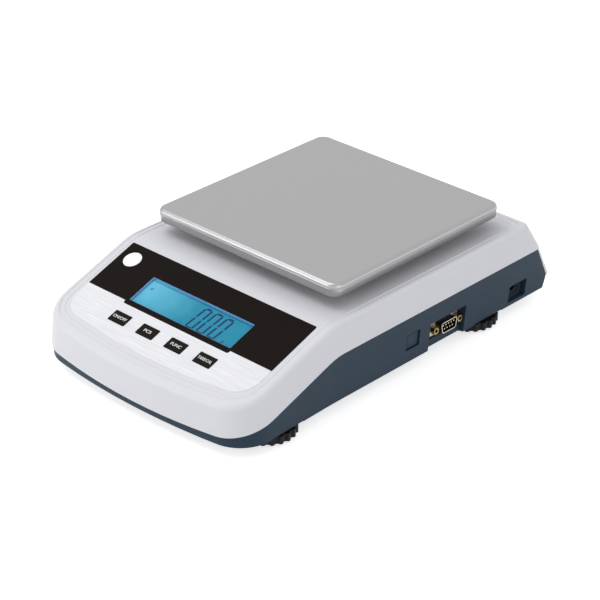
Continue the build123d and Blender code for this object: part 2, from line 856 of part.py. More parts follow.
# Bridge, load cell, spacers and chassis plate
with BuildPart() as load_bridge:
    bridge_front_y = pan_center_y - bridge_overhang
    with Locations((0, (bridge_front_y + cell_back_y) / 2, (bridge_bottom + bridge_top) / 2)):
        Box(bridge_width, cell_back_y - bridge_front_y, bridge_thickness)
    fillet(load_bridge.edges().filter_by(Axis.Z), 3)
    for side in (-1, 1):
        with Locations((side * post_screw_x, pan_center_y, bridge_bottom)):
            Cylinder(m4_radius + screw_clearance, 4 * bridge_thickness, mode=Mode.SUBTRACT)
        with Locations((0, cell_screw_ys[1] + side * cell_screw_spacing / 2, bridge_bottom)):
            Cylinder(m5_radius + screw_clearance, 4 * bridge_thickness, mode=Mode.SUBTRACT)
save(load_bridge.part, "load_bridge")

with BuildPart() as load_cell_spacers:
    for y, level, height in (
        (cell_screw_ys[0], chassis_top, lower_spacer_height),
        (cell_screw_ys[1], cell_top, upper_spacer_height),
    ):
        with Locations((0, y, level + height / 2)):
            Box(cell_width, cell_end_length, height)
        for side in (-1, 1):
            with Locations((0, y + side * cell_screw_spacing / 2, level)):
                Cylinder(m5_radius + screw_clearance, 4 * height, mode=Mode.SUBTRACT)
save(load_cell_spacers.part, "load_cell_spacers")

with BuildPart() as load_cell:
    with Locations((0, pan_center_y, (cell_bottom + cell_top) / 2)):
        Box(cell_width, cell_length, cell_height)
    with BuildSketch(Plane.YZ.offset(-cell_width)):
        for side in (-1, 1):
            with Locations((pan_center_y + side * cell_bore_spacing / 2, (cell_bottom + cell_top) / 2)):
                Circle(cell_bore_radius)
        with Locations((pan_center_y, (cell_bottom + cell_top) / 2)):
            Rectangle(cell_bore_spacing, cell_slot_height)
    extrude(amount=2 * cell_width, mode=Mode.SUBTRACT)
    for side in (-1, 1):
        with Locations((0, cell_screw_ys[0] + side * cell_screw_spacing / 2, cell_bottom)):
            Cylinder(m5_radius + screw_clearance, 2 * cell_screw_depth + 1, mode=Mode.SUBTRACT)
        with Locations((0, cell_screw_ys[1] + side * cell_screw_spacing / 2, cell_top)):
            Cylinder(m5_radius + screw_clearance, 2 * cell_screw_depth + 1, mode=Mode.SUBTRACT)
save(load_cell.part, "load_cell")

with BuildPart() as strain_gauges:
    for side in (-1, 1):
        for level, align in ((cell_top, Align.MIN), (cell_bottom, Align.MAX)):
            with Locations((0, pan_center_y + side * cell_bore_spacing / 2, level)):
                Box(gauge_width, gauge_length, gauge_thickness, align=(Align.CENTER, Align.CENTER, align))
save(strain_gauges.part, "strain_gauges")

lower_grip = chassis_thickness + lower_spacer_height + cell_screw_depth
upper_grip = bridge_thickness + upper_spacer_height + cell_screw_depth
lower_cell_screw = pan_head_screw(m5_radius, m5_head_radius, m5_head_height, lower_grip)
upper_cell_screw = pan_head_screw(m5_radius, m5_head_radius, m5_head_height, upper_grip)
with BuildPart() as load_cell_screws:
    for side in (-1, 1):
        add(Pos(0, cell_screw_ys[0] + side * cell_screw_spacing / 2, chassis_height) * lower_cell_screw)
        add(
            Pos(0, cell_screw_ys[1] + side * cell_screw_spacing / 2, bridge_top)
            * Rot(180, 0, 0)
            * upper_cell_screw
        )
save(load_cell_screws.part, "load_cell_screws")

with BuildPart() as chassis_plate:
    with Locations((0, pan_center_y, (chassis_height + chassis_top) / 2)):
        Box(chassis_width, chassis_length, chassis_thickness)
    fillet(chassis_plate.edges().filter_by(Axis.Z), 4)
    for side in (-1, 1):
        with Locations((0, cell_screw_ys[0] + side * cell_screw_spacing / 2, chassis_height)):
            Cylinder(m5_radius + screw_clearance, 4 * chassis_thickness, mode=Mode.SUBTRACT)
    for x, y in chassis_screw_places:
        with Locations((x, y, chassis_height)):
            Cylinder(m3_radius + screw_clearance, 4 * chassis_thickness, mode=Mode.SUBTRACT)
    with Locations((0, stop_y, chassis_height)):
        Cylinder(stop_radius + screw_clearance, 4 * chassis_thickness, mode=Mode.SUBTRACT)
save(chassis_plate.part, "chassis_plate")

chassis_screw = pan_head_screw(m3_radius, m3_head_radius, m3_head_height, chassis_top - floor_top - 0.2)
with BuildPart() as chassis_screws:
    for x, y in chassis_screw_places:
        add(Pos(x, y, chassis_top) * Rot(180, 0, 0) * chassis_screw)
save(chassis_screws.part, "chassis_screws")

with BuildPart() as overload_stop:
    stop_top = cell_bottom - stop_gap
    with Locations((0, stop_y, stop_bottom)):
        Cylinder(stop_radius, stop_top - stop_bottom, align=(Align.CENTER, Align.CENTER, Align.MIN))
    with BuildSketch(Plane.XY.offset(chassis_top)):
        with Locations((0, stop_y)):
            RegularPolygon(stop_nut_across / 2, 6, major_radius=False)
    extrude(amount=stop_nut_height)
save(overload_stop.part, "overload_stop")


def round_lead(points, radius, bend):
    """A round cable through the points, with rounded corners."""
    with BuildPart() as lead:
        with BuildLine() as path:
            FilletPolyline(*points, radius=bend)
        with BuildSketch(Plane(origin=path.line @ 0, z_dir=path.line % 0)):
            Circle(radius)
        sweep()
    return lead.part


header_top = main_board_top + header_height
cell_lead_level = (cell_bottom + cell_top) / 2
load_cell_lead = round_lead(
    [
        (cell_width / 2, cell_lead_start_y, cell_lead_level),
        (cell_lead_x, cell_lead_start_y, cell_lead_level),
        (cell_lead_x, cell_header_y, cell_lead_level),
        (ribbon_x, cell_header_y, cell_lead_level),
        (ribbon_x, cell_header_y, header_top),
    ],
    cell_lead_radius,
    5,
)
save(load_cell_lead, "load_cell_lead")

# Printed film on the slope, with openings for the window, the keys and the level
with BuildPart() as front_overlay:
    with BuildSketch(slope) as film:
        edge_drop = (bow_radius - (bow_radius**2 - film_half_width**2) ** 0.5) / cos(slope_rad)
        side_end = edge_drop - film_front
        with BuildLine():
            ThreePointArc((-film_half_width, side_end), (0, -film_front), (film_half_width, side_end))
            Polyline(
                (film_half_width, side_end),
                (film_half_width, -film_back),
                (-film_half_width, -film_back),
                (-film_half_width, side_end),
            )
        make_face()
        fillet(film.vertices().group_by(Axis.Y)[0], film_corner)
        fillet(film.vertices().group_by(Axis.Y)[-1], film_back_corner)
        with Locations((0, -window_center)):
            Rectangle(
                window_width + 2 * window_rim + 2 * window_fit,
                window_length + 2 * window_rim + 2 * window_fit,
                mode=Mode.SUBTRACT,
            )
        with Locations(*[(x, -key_center) for x in key_places.values()]):
            Rectangle(key_width + 2 * key_clearance, key_length + 2 * key_clearance, mode=Mode.SUBTRACT)
        with Locations((level_x, -level_along)):
            Circle(level_radius + level_clearance, mode=Mode.SUBTRACT)
    extrude(amount=film_thickness)
save(front_overlay.part, "front_overlay")

with BuildPart() as display_window:
    with BuildSketch(slope):
        with Locations((0, -window_center)):
            Rectangle(window_width + 2 * window_rim, window_length + 2 * window_rim)
    extrude(amount=film_thickness)
save(display_window.part, "display_window")

# Display stack
with BuildPart() as lcd_frame:
    frame_length = glass_length + 2 * lcd_gap
    frame_width = glass_width + 2 * lcd_gap
    with BuildSketch(slope.offset(-display_board_depth)):
        with Locations((0, -window_center)):
            Rectangle(frame_length + 2 * lcd_frame_wall, frame_width + 2 * lcd_frame_wall)
            Rectangle(frame_length, frame_width, mode=Mode.SUBTRACT)
    extrude(amount=display_board_depth - lcd_frame_top)
    with BuildSketch(slope.offset(-lcd_frame_top)):
        with Locations((0, -window_center)):
            Rectangle(frame_length + lcd_frame_wall, frame_width + lcd_frame_wall)
            Rectangle(
                window_width + 2 * lcd_lip_margin, window_length + 2 * lcd_lip_margin, mode=Mode.SUBTRACT
            )
    extrude(amount=-lcd_frame_lip)
save(lcd_frame.part, "lcd_frame")

with BuildPart() as lcd_glass:
    with BuildSketch(slope.offset(-lcd_glass_top)):
        with Locations((0, -window_center)):
            Rectangle(glass_length, glass_width)
    extrude(amount=-lcd_glass_thickness)
save(lcd_glass.part, "lcd_glass")

with BuildPart() as lcd_backlight:
    with BuildSketch(slope.offset(-display_board_depth + lcd_stack_gap)):
        with Locations((0, -window_center)):
            Rectangle(backlight_length, backlight_width)
    extrude(amount=display_board_depth - glass_bottom - 2 * lcd_stack_gap)
save(lcd_backlight.part, "lcd_backlight")

with BuildPart() as zebra_strips:
    with BuildSketch(slope.offset(-display_board_depth + lcd_stack_gap)):
        with Locations((0, zebra_offset - window_center), (0, -zebra_offset - window_center)):
            Rectangle(zebra_length, zebra_thickness)
    extrude(amount=display_board_depth - glass_bottom - 2 * lcd_stack_gap)
save(zebra_strips.part, "zebra_strips")

with BuildPart() as display_board:
    with BuildSketch(slope.offset(-display_board_depth)):
        with Locations((0, -(display_board_back + display_board_front) / 2)):
            Rectangle(2 * display_board_half_width, display_board_front - display_board_back)
        with Locations(*display_screw_places):
            Circle(m2_radius + screw_clearance, mode=Mode.SUBTRACT)
    extrude(amount=-board_thickness)
save(display_board.part, "display_board")

# Keys: cap through the cover, flange under it, stem into the switch
for name, x in key_places.items():
    with BuildPart() as key:
        with BuildSketch(slope.offset(-key_flange_top)):
            with Locations((x, -key_center)):
                RectangleRounded(key_width, key_length, key_corner)
        extrude(amount=key_flange_top + key_proud)
        fillet(key.faces().sort_by(Axis((0, 0, 0), slope.z_dir))[-1].edges(), key_edge)
        with BuildSketch(slope.offset(-key_flange_top)):
            with Locations((x, -key_center)):
                Rectangle(key_width + 2 * key_flange, key_length + 2 * key_flange)
        extrude(amount=-key_flange_thickness)
        with BuildSketch(slope.offset(-key_flange_top - key_flange_thickness)):
            with Locations((x, -key_center)):
                Circle(key_stem_radius)
        extrude(amount=key_flange_top + key_flange_thickness - key_stem_end)
    save(key.part, name)

with BuildPart() as switch_bodies:
    with BuildSketch(slope.offset(-display_board_depth)):
        with Locations(*[(x, -key_center) for x in key_places.values()]):
            Rectangle(switch_size, switch_size)
    extrude(amount=switch_height)
    with BuildSketch(slope.offset(-key_stem_bore_end)):
        with Locations(*[(x, -key_center) for x in key_places.values()]):
            Circle(key_stem_radius + key_stem_fit)
    extrude(amount=switch_height, mode=Mode.SUBTRACT)
save(switch_bodies.part, "switch_bodies")

with BuildPart() as buzzer:
    with BuildSketch(slope.offset(-display_board_bottom)):
        with Locations((buzzer_x, -buzzer_along)):
            Circle(buzzer_radius)
    extrude(amount=-buzzer_height)
save(buzzer.part, "buzzer")

# Round spirit level
with BuildPart() as level_cup:
    with BuildSketch(slope.offset(-level_depth)):
        with Locations((level_x, -level_along)):
            Circle(level_radius)
    extrude(amount=level_depth + film_thickness)
    with BuildSketch(slope.offset(-key_flange_top)):
        with Locations((level_x, -level_along)):
            Circle(level_flange_radius)
    extrude(amount=-level_flange_thickness)
    with BuildSketch(slope.offset(film_thickness)):
        with Locations((level_x, -level_along)):
            Circle(level_radius - level_rim)
    extrude(amount=-level_lens_thickness, mode=Mode.SUBTRACT)
    with BuildSketch(slope.offset(film_thickness)):
        with Locations((level_x, -level_along)):
            Circle(level_radius - 2 * level_rim)
    extrude(amount=-level_lens_thickness - level_pool_depth, mode=Mode.SUBTRACT)
save(level_cup.part, "level_cup")

with BuildPart() as level_lens:
    with BuildSketch(slope.offset(film_thickness)):
        with Locations((level_x, -level_along)):
            Circle(level_radius - level_rim - screw_clearance)
    extrude(amount=-level_lens_thickness)
save(level_lens.part, "level_lens")

# Main board
with BuildPart() as main_board:
    with BuildSketch(Plane.XY.offset(main_board_bottom)):
        with Locations(
            (
                (main_board_inner_x + main_board_outer_x) / 2,
                (main_board_front_y + main_board_back_y) / 2,
            )
        ):
            Rectangle(main_board_outer_x - main_board_inner_x, main_board_back_y - main_board_front_y)
        with Locations((foot_x, rear_foot_y)):
            Circle(boss_radius + 1, mode=Mode.SUBTRACT)
        with Locations((foot_x + boss_radius, rear_foot_y)):
            Rectangle(2 * boss_radius, 2 * boss_radius + 2, mode=Mode.SUBTRACT)
        with Locations(*main_board_screw_places):
            Circle(m2_radius + screw_clearance, mode=Mode.SUBTRACT)
    extrude(amount=board_thickness)
save(main_board.part, "main_board")

# Screws of both boards
main_screw = pan_head_screw(m2_radius, m2_head_radius, m2_head_height, board_thickness + wall / 2)
display_grip = board_thickness + display_screw_depth
display_screw = pan_head_screw(m2_radius, m2_head_radius, m2_head_height, display_grip)
with BuildPart() as board_screws:
    for x, y in main_board_screw_places:
        add(Pos(x, y, main_board_top) * Rot(180, 0, 0) * main_screw)
    for x, along in display_screw_places:
        add(slope.offset(-display_board_bottom).location * Pos(x, along, 0) * display_screw)
save(board_screws.part, "board_screws")

with BuildPart() as board_chips:
    for x, y, length, width, height in chip_sizes:
        with Locations((x, y, main_board_top + height / 2)):
            Box(length, width, height)
save(board_chips.part, "board_chips")

with BuildPart() as board_capacitors:
    for x, y in capacitor_places:
        with Locations((x, y, main_board_top)):
            Cylinder(capacitor_radius, capacitor_height, align=(Align.CENTER, Align.CENTER, Align.MIN))
    fillet(board_capacitors.faces().group_by(Axis.Z)[-1].edges(), 0.5)
save(board_capacitors.part, "board_capacitors")

with BuildPart() as cable_headers:
    for x, y in (
        (ribbon_x, ribbon_end_y),
        (ribbon_x, cell_header_y),
        (battery_header_x, battery_header_y),
    ):
        with Locations((x, y, main_board_top + header_height / 2)):
            Box(header_width, header_length, header_height)
    with BuildSketch(slope.offset(-display_board_bottom)):
        with Locations((ribbon_x, -ribbon_along)):
            Rectangle(header_width, header_length)
    extrude(amount=-header_height)
save(cable_headers.part, "cable_headers")

# Flat cable between the boards, straight down, back and down again
ribbon_plane = slope.offset(-display_board_bottom - header_height)
ribbon_start = ribbon_plane.from_local_coords((ribbon_x, -ribbon_along))
with BuildPart() as display_ribbon:
    with BuildLine() as ribbon_path:
        FilletPolyline(
            (ribbon_x, ribbon_start.Y, ribbon_start.Z - ribbon_lift),
            (ribbon_x, ribbon_start.Y, ribbon_level),
            (ribbon_x, ribbon_end_y, ribbon_level),
            (ribbon_x, ribbon_end_y, header_top),
            radius=ribbon_bend,
        )
    with BuildSketch(Plane(origin=ribbon_path.line @ 0, x_dir=(1, 0, 0), z_dir=ribbon_path.line % 0)):
        Rectangle(ribbon_width, ribbon_thickness)
    sweep()
save(display_ribbon.part, "display_ribbon")

# Nine-pin connector
port_plane = Plane(origin=(flange_front_x, serial_y, serial_z), x_dir=(0, 1, 0), z_dir=(1, 0, 0))


def d_outline(margin):
    """The connector's D, wide side up, grown by margin."""
    lean = tan(radians(shell_slant)) * shell_height / 2
    with BuildSketch(port_plane) as outline:
        with BuildLine():
            Polyline(
                (-shell_width / 2, shell_height / 2),
                (shell_width / 2, shell_height / 2),
                (shell_width / 2 - 2 * lean, -shell_height / 2),
                (-shell_width / 2 + 2 * lean, -shell_height / 2),
                close=True,
            )
        make_face()
        fillet(outline.vertices(), shell_corner)
        if margin:
            offset(amount=margin, mode=Mode.REPLACE)
    return outline.sketch


shell_outline = d_outline(0)
shell_opening = d_outline(-shell_wall)
lining_outline = d_outline(-shell_wall - screw_clearance)
jack_screw_places = [(-screw_spacing / 2, 0), (screw_spacing / 2, 0)]
pin_places = [(pin_pitch * (i - 2), pin_row_gap / 2) for i in range(5)]
pin_places += [(pin_pitch * (i - 1.5), -pin_row_gap / 2) for i in range(4)]
with BuildPart() as serial_shell:
    with BuildSketch(port_plane):
        RectangleRounded(flange_width, flange_height, flange_corner)
        with Locations(*jack_screw_places):
            Circle(jack_stud_radius + screw_clearance, mode=Mode.SUBTRACT)
    extrude(amount=-flange_thickness)
    extrude(shell_outline, amount=shell_length)
    extrude(shell_opening, amount=shell_length, mode=Mode.SUBTRACT)
    extrude(shell_opening, amount=-flange_thickness, mode=Mode.SUBTRACT)
save(serial_shell.part, "serial_shell")

with BuildPart() as serial_insulator:
    body_top = serial_z + serial_body_height / 2
    body_front_x = flange_front_x - flange_thickness
    with Locations(((serial_body_back_x + body_front_x) / 2, serial_y, (main_board_top + body_top) / 2)):
        Box(body_front_x - serial_body_back_x, serial_body_width, body_top - main_board_top)
    with Locations((body_front_x - serial_bar / 2, serial_y, (main_board_top + body_top) / 2)):
        Box(serial_bar, flange_width - 1, body_top - main_board_top)
    extrude(lining_outline, amount=serial_lining)
    extrude(lining_outline, amount=-flange_thickness)
    with BuildSketch(port_plane.offset(serial_lining)):
        with Locations(*pin_places):
            Circle(pin_radius + pin_fit)
    extrude(amount=-flange_front_x, mode=Mode.SUBTRACT)
    with BuildSketch(port_plane):
        with Locations(*jack_screw_places):
            Circle(jack_stud_radius + screw_clearance)
    extrude(amount=-flange_thickness - 2 * serial_bar, mode=Mode.SUBTRACT)
save(serial_insulator.part, "serial_insulator")

with BuildPart() as serial_pins:
    for y, z in pin_places:
        tail_x = serial_body_back_x - (3.4 if z > 0 else 1.4)
        pin_end = flange_front_x + pin_length
        with BuildSketch(port_plane.offset(pin_length)):
            with Locations((y, z)):
                Circle(pin_radius)
        extrude(amount=tail_x - pin_end)
        with Locations((tail_x, serial_y + y, serial_z + z)):
            Sphere(pin_radius)
            Cylinder(
                pin_radius, serial_z + z - main_board_top, align=(Align.CENTER, Align.CENTER, Align.MAX)
            )
save(serial_pins.part, "serial_pins")

with BuildPart() as serial_jack_screws:
    with BuildSketch(port_plane):
        with Locations(*jack_screw_places):
            RegularPolygon(jack_screw_across / 2, 6, major_radius=False)
    extrude(amount=jack_screw_length)
    with BuildSketch(port_plane):
        with Locations(*jack_screw_places):
            Circle(jack_stud_radius)
    extrude(amount=-flange_thickness - serial_bar)
    with BuildSketch(port_plane.offset(jack_screw_length)):
        with Locations(*jack_screw_places):
            Circle(jack_screw_hole_radius)
    extrude(amount=-jack_screw_hole_depth, mode=Mode.SUBTRACT)
save(serial_jack_screws.part, "serial_jack_screws")

# Low-voltage inlet
power_plane = Plane(origin=(power_front_x, power_y, power_z), x_dir=(0, 1, 0), z_dir=(1, 0, 0))
with BuildPart() as power_jack:
    power_top = power_z + power_body_height / 2
    with Locations(
        (power_front_x - power_body_length / 2, power_y, (main_board_top + power_top) / 2)
    ):
        Box(power_body_length, power_body_width, power_top - main_board_top)
    with BuildSketch(power_plane):
        Circle(power_bore_radius)
    extrude(amount=-power_bore_depth, mode=Mode.SUBTRACT)
    with BuildSketch(power_plane):
        Circle(power_pin_radius + pin_fit)
    extrude(amount=-power_bore_depth - power_pin_root, mode=Mode.SUBTRACT)
save(power_jack.part, "power_jack")

with BuildPart() as power_jack_pin:
    with BuildSketch(power_plane.offset(-power_bore_depth - power_pin_root + pin_fit)):
        Circle(power_pin_radius)
    extrude(amount=power_bore_depth + power_pin_root - 1)
    fillet(power_jack_pin.faces().sort_by(Axis.X)[-1].edges(), power_pin_radius / 3)
save(power_jack_pin.part, "power_jack_pin")

# Battery and its lead
battery_bottom = floor_top + battery_gap
with BuildPart() as battery_pack:
    with Locations((0, battery_y, battery_bottom + battery_height / 2)):
        Box(battery_length, battery_width, battery_height)
    fillet(battery_pack.edges().filter_by(Axis.X), battery_corner)
save(battery_pack.part, "battery_pack")

battery_lead = round_lead(
    [
        (battery_length / 2, battery_lead_start_y, battery_lead_level),
        (battery_lead_x, battery_lead_start_y, battery_lead_level),
        (battery_lead_x, battery_header_y, battery_lead_level),
        (battery_header_x, battery_header_y, battery_lead_level),
        (battery_header_x, battery_header_y, header_top),
    ],
    battery_lead_radius,
    3,
)
save(battery_lead, "battery_lead")

# Levelling feet
with BuildPart() as foot_inserts:
    for x, y in foot_places.values():
        with Locations((x, y, insert_bottom)):
            Cylinder(insert_radius, insert_height, align=(Align.CENTER, Align.CENTER, Align.MIN))
            Cylinder(
                stud_radius + stud_fit,
                insert_height,
                align=(Align.CENTER, Align.CENTER, Align.MIN),
                mode=Mode.SUBTRACT,
            )
save(foot_inserts.part, "foot_inserts")

wheel_bottom = pad_height + foot_gap
for name, (x, y) in foot_places.items():
    with BuildPart() as foot_wheel:
        with BuildSketch(Plane.XY.offset(wheel_bottom)):
            with Locations((x, y)):
                Circle(wheel_radius - wheel_root)
                with PolarLocations(wheel_radius - wheel_rib_radius, wheel_ribs):
                    Circle(wheel_rib_radius)
        extrude(amount=wheel_thickness)
        with BuildSketch(Plane.XY.offset(wheel_bottom + stud_start)):
            with Locations((x, y)):
                Circle(stud_radius + stud_fit)
        extrude(amount=wheel_thickness, mode=Mode.SUBTRACT)
        with BuildSketch(Plane.XY.offset(wheel_bottom)):
            with Locations((x, y)):
                Circle(pad_pin_radius + pad_pin_fit)
        extrude(amount=pad_pin_height, mode=Mode.SUBTRACT)
    save(foot_wheel.part, "foot_wheel_" + name)

    with BuildPart() as foot_stud:
        with BuildSketch(Plane.XY.offset(wheel_bottom + stud_start)):
            with Locations((x, y)):
                Circle(stud_radius)
        extrude(amount=stud_top - wheel_bottom - stud_start)
        chamfer(foot_stud.faces().sort_by(Axis.Z)[-1].edges(), 0.8)
    save(foot_stud.part, "foot_stud_" + name)

    with BuildPart() as foot_pad:
        with Locations((x, y, 0)):
            Cylinder(pad_radius, pad_height, align=(Align.CENTER, Align.CENTER, Align.MIN))
            Cylinder(
                pad_pin_radius, pad_height + pad_pin_height, align=(Align.CENTER, Align.CENTER, Align.MIN)
            )
        fillet(foot_pad.faces().sort_by(Axis.Z)[0].edges(), 0.6)
    save(foot_pad.part, "foot_pad_" + name)
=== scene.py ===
import json
from math import atan2, cos, degrees, radians, sin

import bmesh
import bpy
import numpy as np
from mathutils import Matrix, Vector

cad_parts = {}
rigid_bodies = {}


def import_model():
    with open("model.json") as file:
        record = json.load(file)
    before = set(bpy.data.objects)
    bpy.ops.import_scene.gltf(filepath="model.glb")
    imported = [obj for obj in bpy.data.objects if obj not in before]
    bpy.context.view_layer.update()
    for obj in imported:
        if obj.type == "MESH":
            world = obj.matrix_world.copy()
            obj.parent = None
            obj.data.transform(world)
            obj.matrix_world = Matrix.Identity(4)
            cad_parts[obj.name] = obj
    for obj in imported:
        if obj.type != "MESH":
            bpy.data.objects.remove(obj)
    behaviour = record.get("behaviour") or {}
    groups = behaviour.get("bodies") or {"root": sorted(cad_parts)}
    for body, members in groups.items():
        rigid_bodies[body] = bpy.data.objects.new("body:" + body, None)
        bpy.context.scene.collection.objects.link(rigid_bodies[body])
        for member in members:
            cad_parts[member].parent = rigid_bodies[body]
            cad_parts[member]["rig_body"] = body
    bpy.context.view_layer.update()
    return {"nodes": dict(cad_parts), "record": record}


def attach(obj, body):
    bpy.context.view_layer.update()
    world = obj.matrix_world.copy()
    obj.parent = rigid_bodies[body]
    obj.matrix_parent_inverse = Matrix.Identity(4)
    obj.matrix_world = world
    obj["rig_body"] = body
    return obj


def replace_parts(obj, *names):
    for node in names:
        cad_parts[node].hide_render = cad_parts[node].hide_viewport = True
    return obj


# Metres. X to the right of someone at the keys, Y to the back, Z up, the table at zero.

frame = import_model()
nodes = frame["nodes"]
mm = 0.001
print("frame loaded,", len(nodes), "nodes")


def linear(hexColour):
    # sRGB hex to linear RGBA: each channel / 12.92 up to 0.04045, else ((c + 0.055) / 1.055) ^ 2.4
    channels = [int(hexColour[i:i + 2], 16) / 255 for i in (0, 2, 4)]
    return tuple(c / 12.92 if c <= 0.04045 else ((c + 0.055) / 1.055) ** 2.4 for c in channels) + (1.0,)


def addNode(tree, kind, settings={}, inputs={}):
    # one node, with its settings, and its inputs as values or as links from other sockets
    node = tree.nodes.new(kind)
    for name, value in settings.items():
        setattr(node, name, value)
    for name, value in inputs.items():
        if isinstance(value, bpy.types.NodeSocket):
            tree.links.new(value, node.inputs[name])
        else:
            node.inputs[name].default_value = value
    return node


def newMaterial(name, sockets):
    # one Principled shader, what is even all over set on its sockets, and the place in Object coordinates
    material = bpy.data.materials.new(name)
    material.use_nodes = True
    tree = material.node_tree
    tree.nodes.clear()
    shader = addNode(tree, "ShaderNodeBsdfPrincipled", {}, sockets)
    addNode(tree, "ShaderNodeOutputMaterial", {}, {"Surface": shader.outputs["BSDF"]})
    return material, tree, shader, addNode(tree, "ShaderNodeTexCoord").outputs["Object"]


def grainBump(tree, shader, place, grain, depth, stretch=(1, 1, 1)):
    # bump of a noise whose grain is given in metres, drawn out along an axis where stretch is below 1
    drawn = addNode(tree, "ShaderNodeMapping", {}, {"Vector": place, "Scale": [s / grain for s in stretch]})
    noise = addNode(tree, "ShaderNodeTexNoise", {}, {
        "Vector": drawn.outputs["Vector"], "Scale": 1.0, "Detail": 3.0})
    bump = addNode(tree, "ShaderNodeBump", {}, {"Height": noise.outputs[0], "Distance": depth})
    tree.links.new(bump.outputs["Normal"], shader.inputs["Normal"])
    return noise.outputs[0]


def layColours(tree, shader, ground, *layers):
    # base colour: the ground, and over it the colour of each layer as far as that layer's pattern is 1
    ground = linear(ground)
    for pattern, colour in layers:
        mix = addNode(tree, "ShaderNodeMix", {"data_type": "RGBA"}, {0: pattern, 6: ground, 7: linear(colour)})
        ground = mix.outputs[2]
    tree.links.new(ground, shader.inputs["Base Color"])
    return ground


def unevenGloss(tree, shader, pattern, smoothest, roughest):
    # roughness goes from smoothest, where the pattern is 0, to roughest, where it is 1
    spread = addNode(tree, "ShaderNodeMapRange", {}, {
        "Value": pattern, "To Min": smoothest, "To Max": roughest})
    tree.links.new(spread.outputs[0], shader.inputs["Roughness"])


plastic = {"grain": 0.5 * mm, "depth": 0.02 * mm, "drift": 35 * mm, "glossSpread": 0.05}


def mouldedPlastic(name, colour, shade, roughness, sheen=0.5):
    # injection-moulded plastic: spark-eroded grain breaks the gloss, and the colour drifts over the part
    material, tree, shader, place = newMaterial(name, {"IOR": 1.5, "Specular IOR Level": sheen})
    drift = addNode(tree, "ShaderNodeTexNoise", {}, {
        "Vector": place, "Scale": 1 / plastic["drift"], "Detail": 2.0})
    layColours(tree, shader, shade, (drift.outputs[0], colour))
    grain = grainBump(tree, shader, place, plastic["grain"], plastic["depth"])
    unevenGloss(tree, shader, grain, roughness - plastic["glossSpread"], roughness + plastic["glossSpread"])
    return material


belt = {"grain": 0.35 * mm, "depth": 0.004 * mm, "stretch": (1, 0.012, 1), "smoother": 0.06, "rougher": 0.08}


def brushedSteel(name, colour, shade, roughness):
    # stainless sheet, belt-brushed from front to back: long fine lines, the gloss smeared across them
    material, tree, shader, place = newMaterial(name, {"Metallic": 1.0})
    lines = grainBump(tree, shader, place, belt["grain"], belt["depth"], belt["stretch"])
    layColours(tree, shader, shade, (lines, colour))
    unevenGloss(tree, shader, lines, roughness - belt["smoother"], roughness + belt["rougher"])
    return material


plating = {"cloud": 2 * mm, "glossSpread": 0.08}


def platedMetal(name, colour, shade, roughness):
    # plated, cast or machined metal: cloudy tone and slightly uneven polish
    material, tree, shader, place = newMaterial(name, {"Metallic": 1.0})
    cloud = addNode(tree, "ShaderNodeTexNoise", {}, {
        "Vector": place, "Scale": 1 / plating["cloud"], "Detail": 4.0}).outputs[0]
    layColours(tree, shader, shade, (cloud, colour))
    unevenGloss(tree, shader, cloud, roughness - plating["glossSpread"], roughness + plating["glossSpread"])
    return material


filmPrint = {"cloud": 3 * mm, "streak": 0.5 * mm, "stretch": (0.02, 1, 1), "low": 0.3, "high": 0.7}


def printedFilm(name, colour, shade, roughness, sheen=0.5, streaked=False):
    # polyester film printed on its back: smooth over the ink, which is cloudy or streaked like brushed metal
    material, tree, shader, place = newMaterial(name, {
        "Roughness": roughness, "IOR": 1.5, "Specular IOR Level": sheen})
    size, stretch = filmPrint["cloud"], (1, 1, 1)
    if streaked:
        size, stretch = filmPrint["streak"], filmPrint["stretch"]
    drawn = addNode(tree, "ShaderNodeMapping", {}, {"Vector": place, "Scale": [s / size for s in stretch]})
    pattern = addNode(tree, "ShaderNodeTexNoise", {}, {
        "Vector": drawn.outputs["Vector"], "Scale": 1.0, "Detail": 4.0})
    clear = addNode(tree, "ShaderNodeMapRange", {}, {
        "Value": pattern.outputs[0], "From Min": filmPrint["low"], "From Max": filmPrint["high"]})
    layColours(tree, shader, shade, (clear.outputs[0], colour))
    return material


backlight = {
    "lampEnd": (-44 * mm, -97 * mm), "reach": 50 * mm, "cloud": 9 * mm, "cloudShare": 0.25,
    "fadeStart": 0.2, "fadeEnd": 1.0,
}


def backlitGlass(name, colour, shade, glow):
    # liquid crystal face lit from behind: the shade by the lamps at its left end, the colour away from them
    material, tree, shader, place = newMaterial(name, {
        "Emission Strength": glow, "Roughness": 0.15, "Specular IOR Level": 0.1})
    reach, (x, y) = backlight["reach"], backlight["lampEnd"]
    away = addNode(tree, "ShaderNodeMapping", {}, {
        "Vector": place, "Location": (-x / reach, -y / reach, 0), "Scale": [1 / reach, 1 / reach, 0]})
    cloud = addNode(tree, "ShaderNodeTexNoise", {}, {
        "Vector": place, "Scale": 1 / backlight["cloud"], "Detail": 3.0})
    distance = addNode(tree, "ShaderNodeVectorMath", {"operation": "LENGTH"}, {0: away.outputs["Vector"]})
    uneven = addNode(tree, "ShaderNodeMath", {"operation": "MULTIPLY_ADD"}, {
        0: cloud.outputs[0], 1: backlight["cloudShare"], 2: distance.outputs["Value"]})
    fade = addNode(tree, "ShaderNodeMapRange", {}, {
        "Value": uneven.outputs[0], "From Min": backlight["fadeStart"], "From Max": backlight["fadeEnd"]})
    tint = layColours(tree, shader, shade, (fade.outputs[0], colour))
    tree.links.new(tint, shader.inputs["Emission Color"])
    return material


connector = {
    "flange": "d6cbb2", "shell": "141516", "rim": "d8d6ce", "cloud": 1.5 * mm,
    "flangeEnd": 90.25 * mm, "rimStart": 95.85 * mm,
}


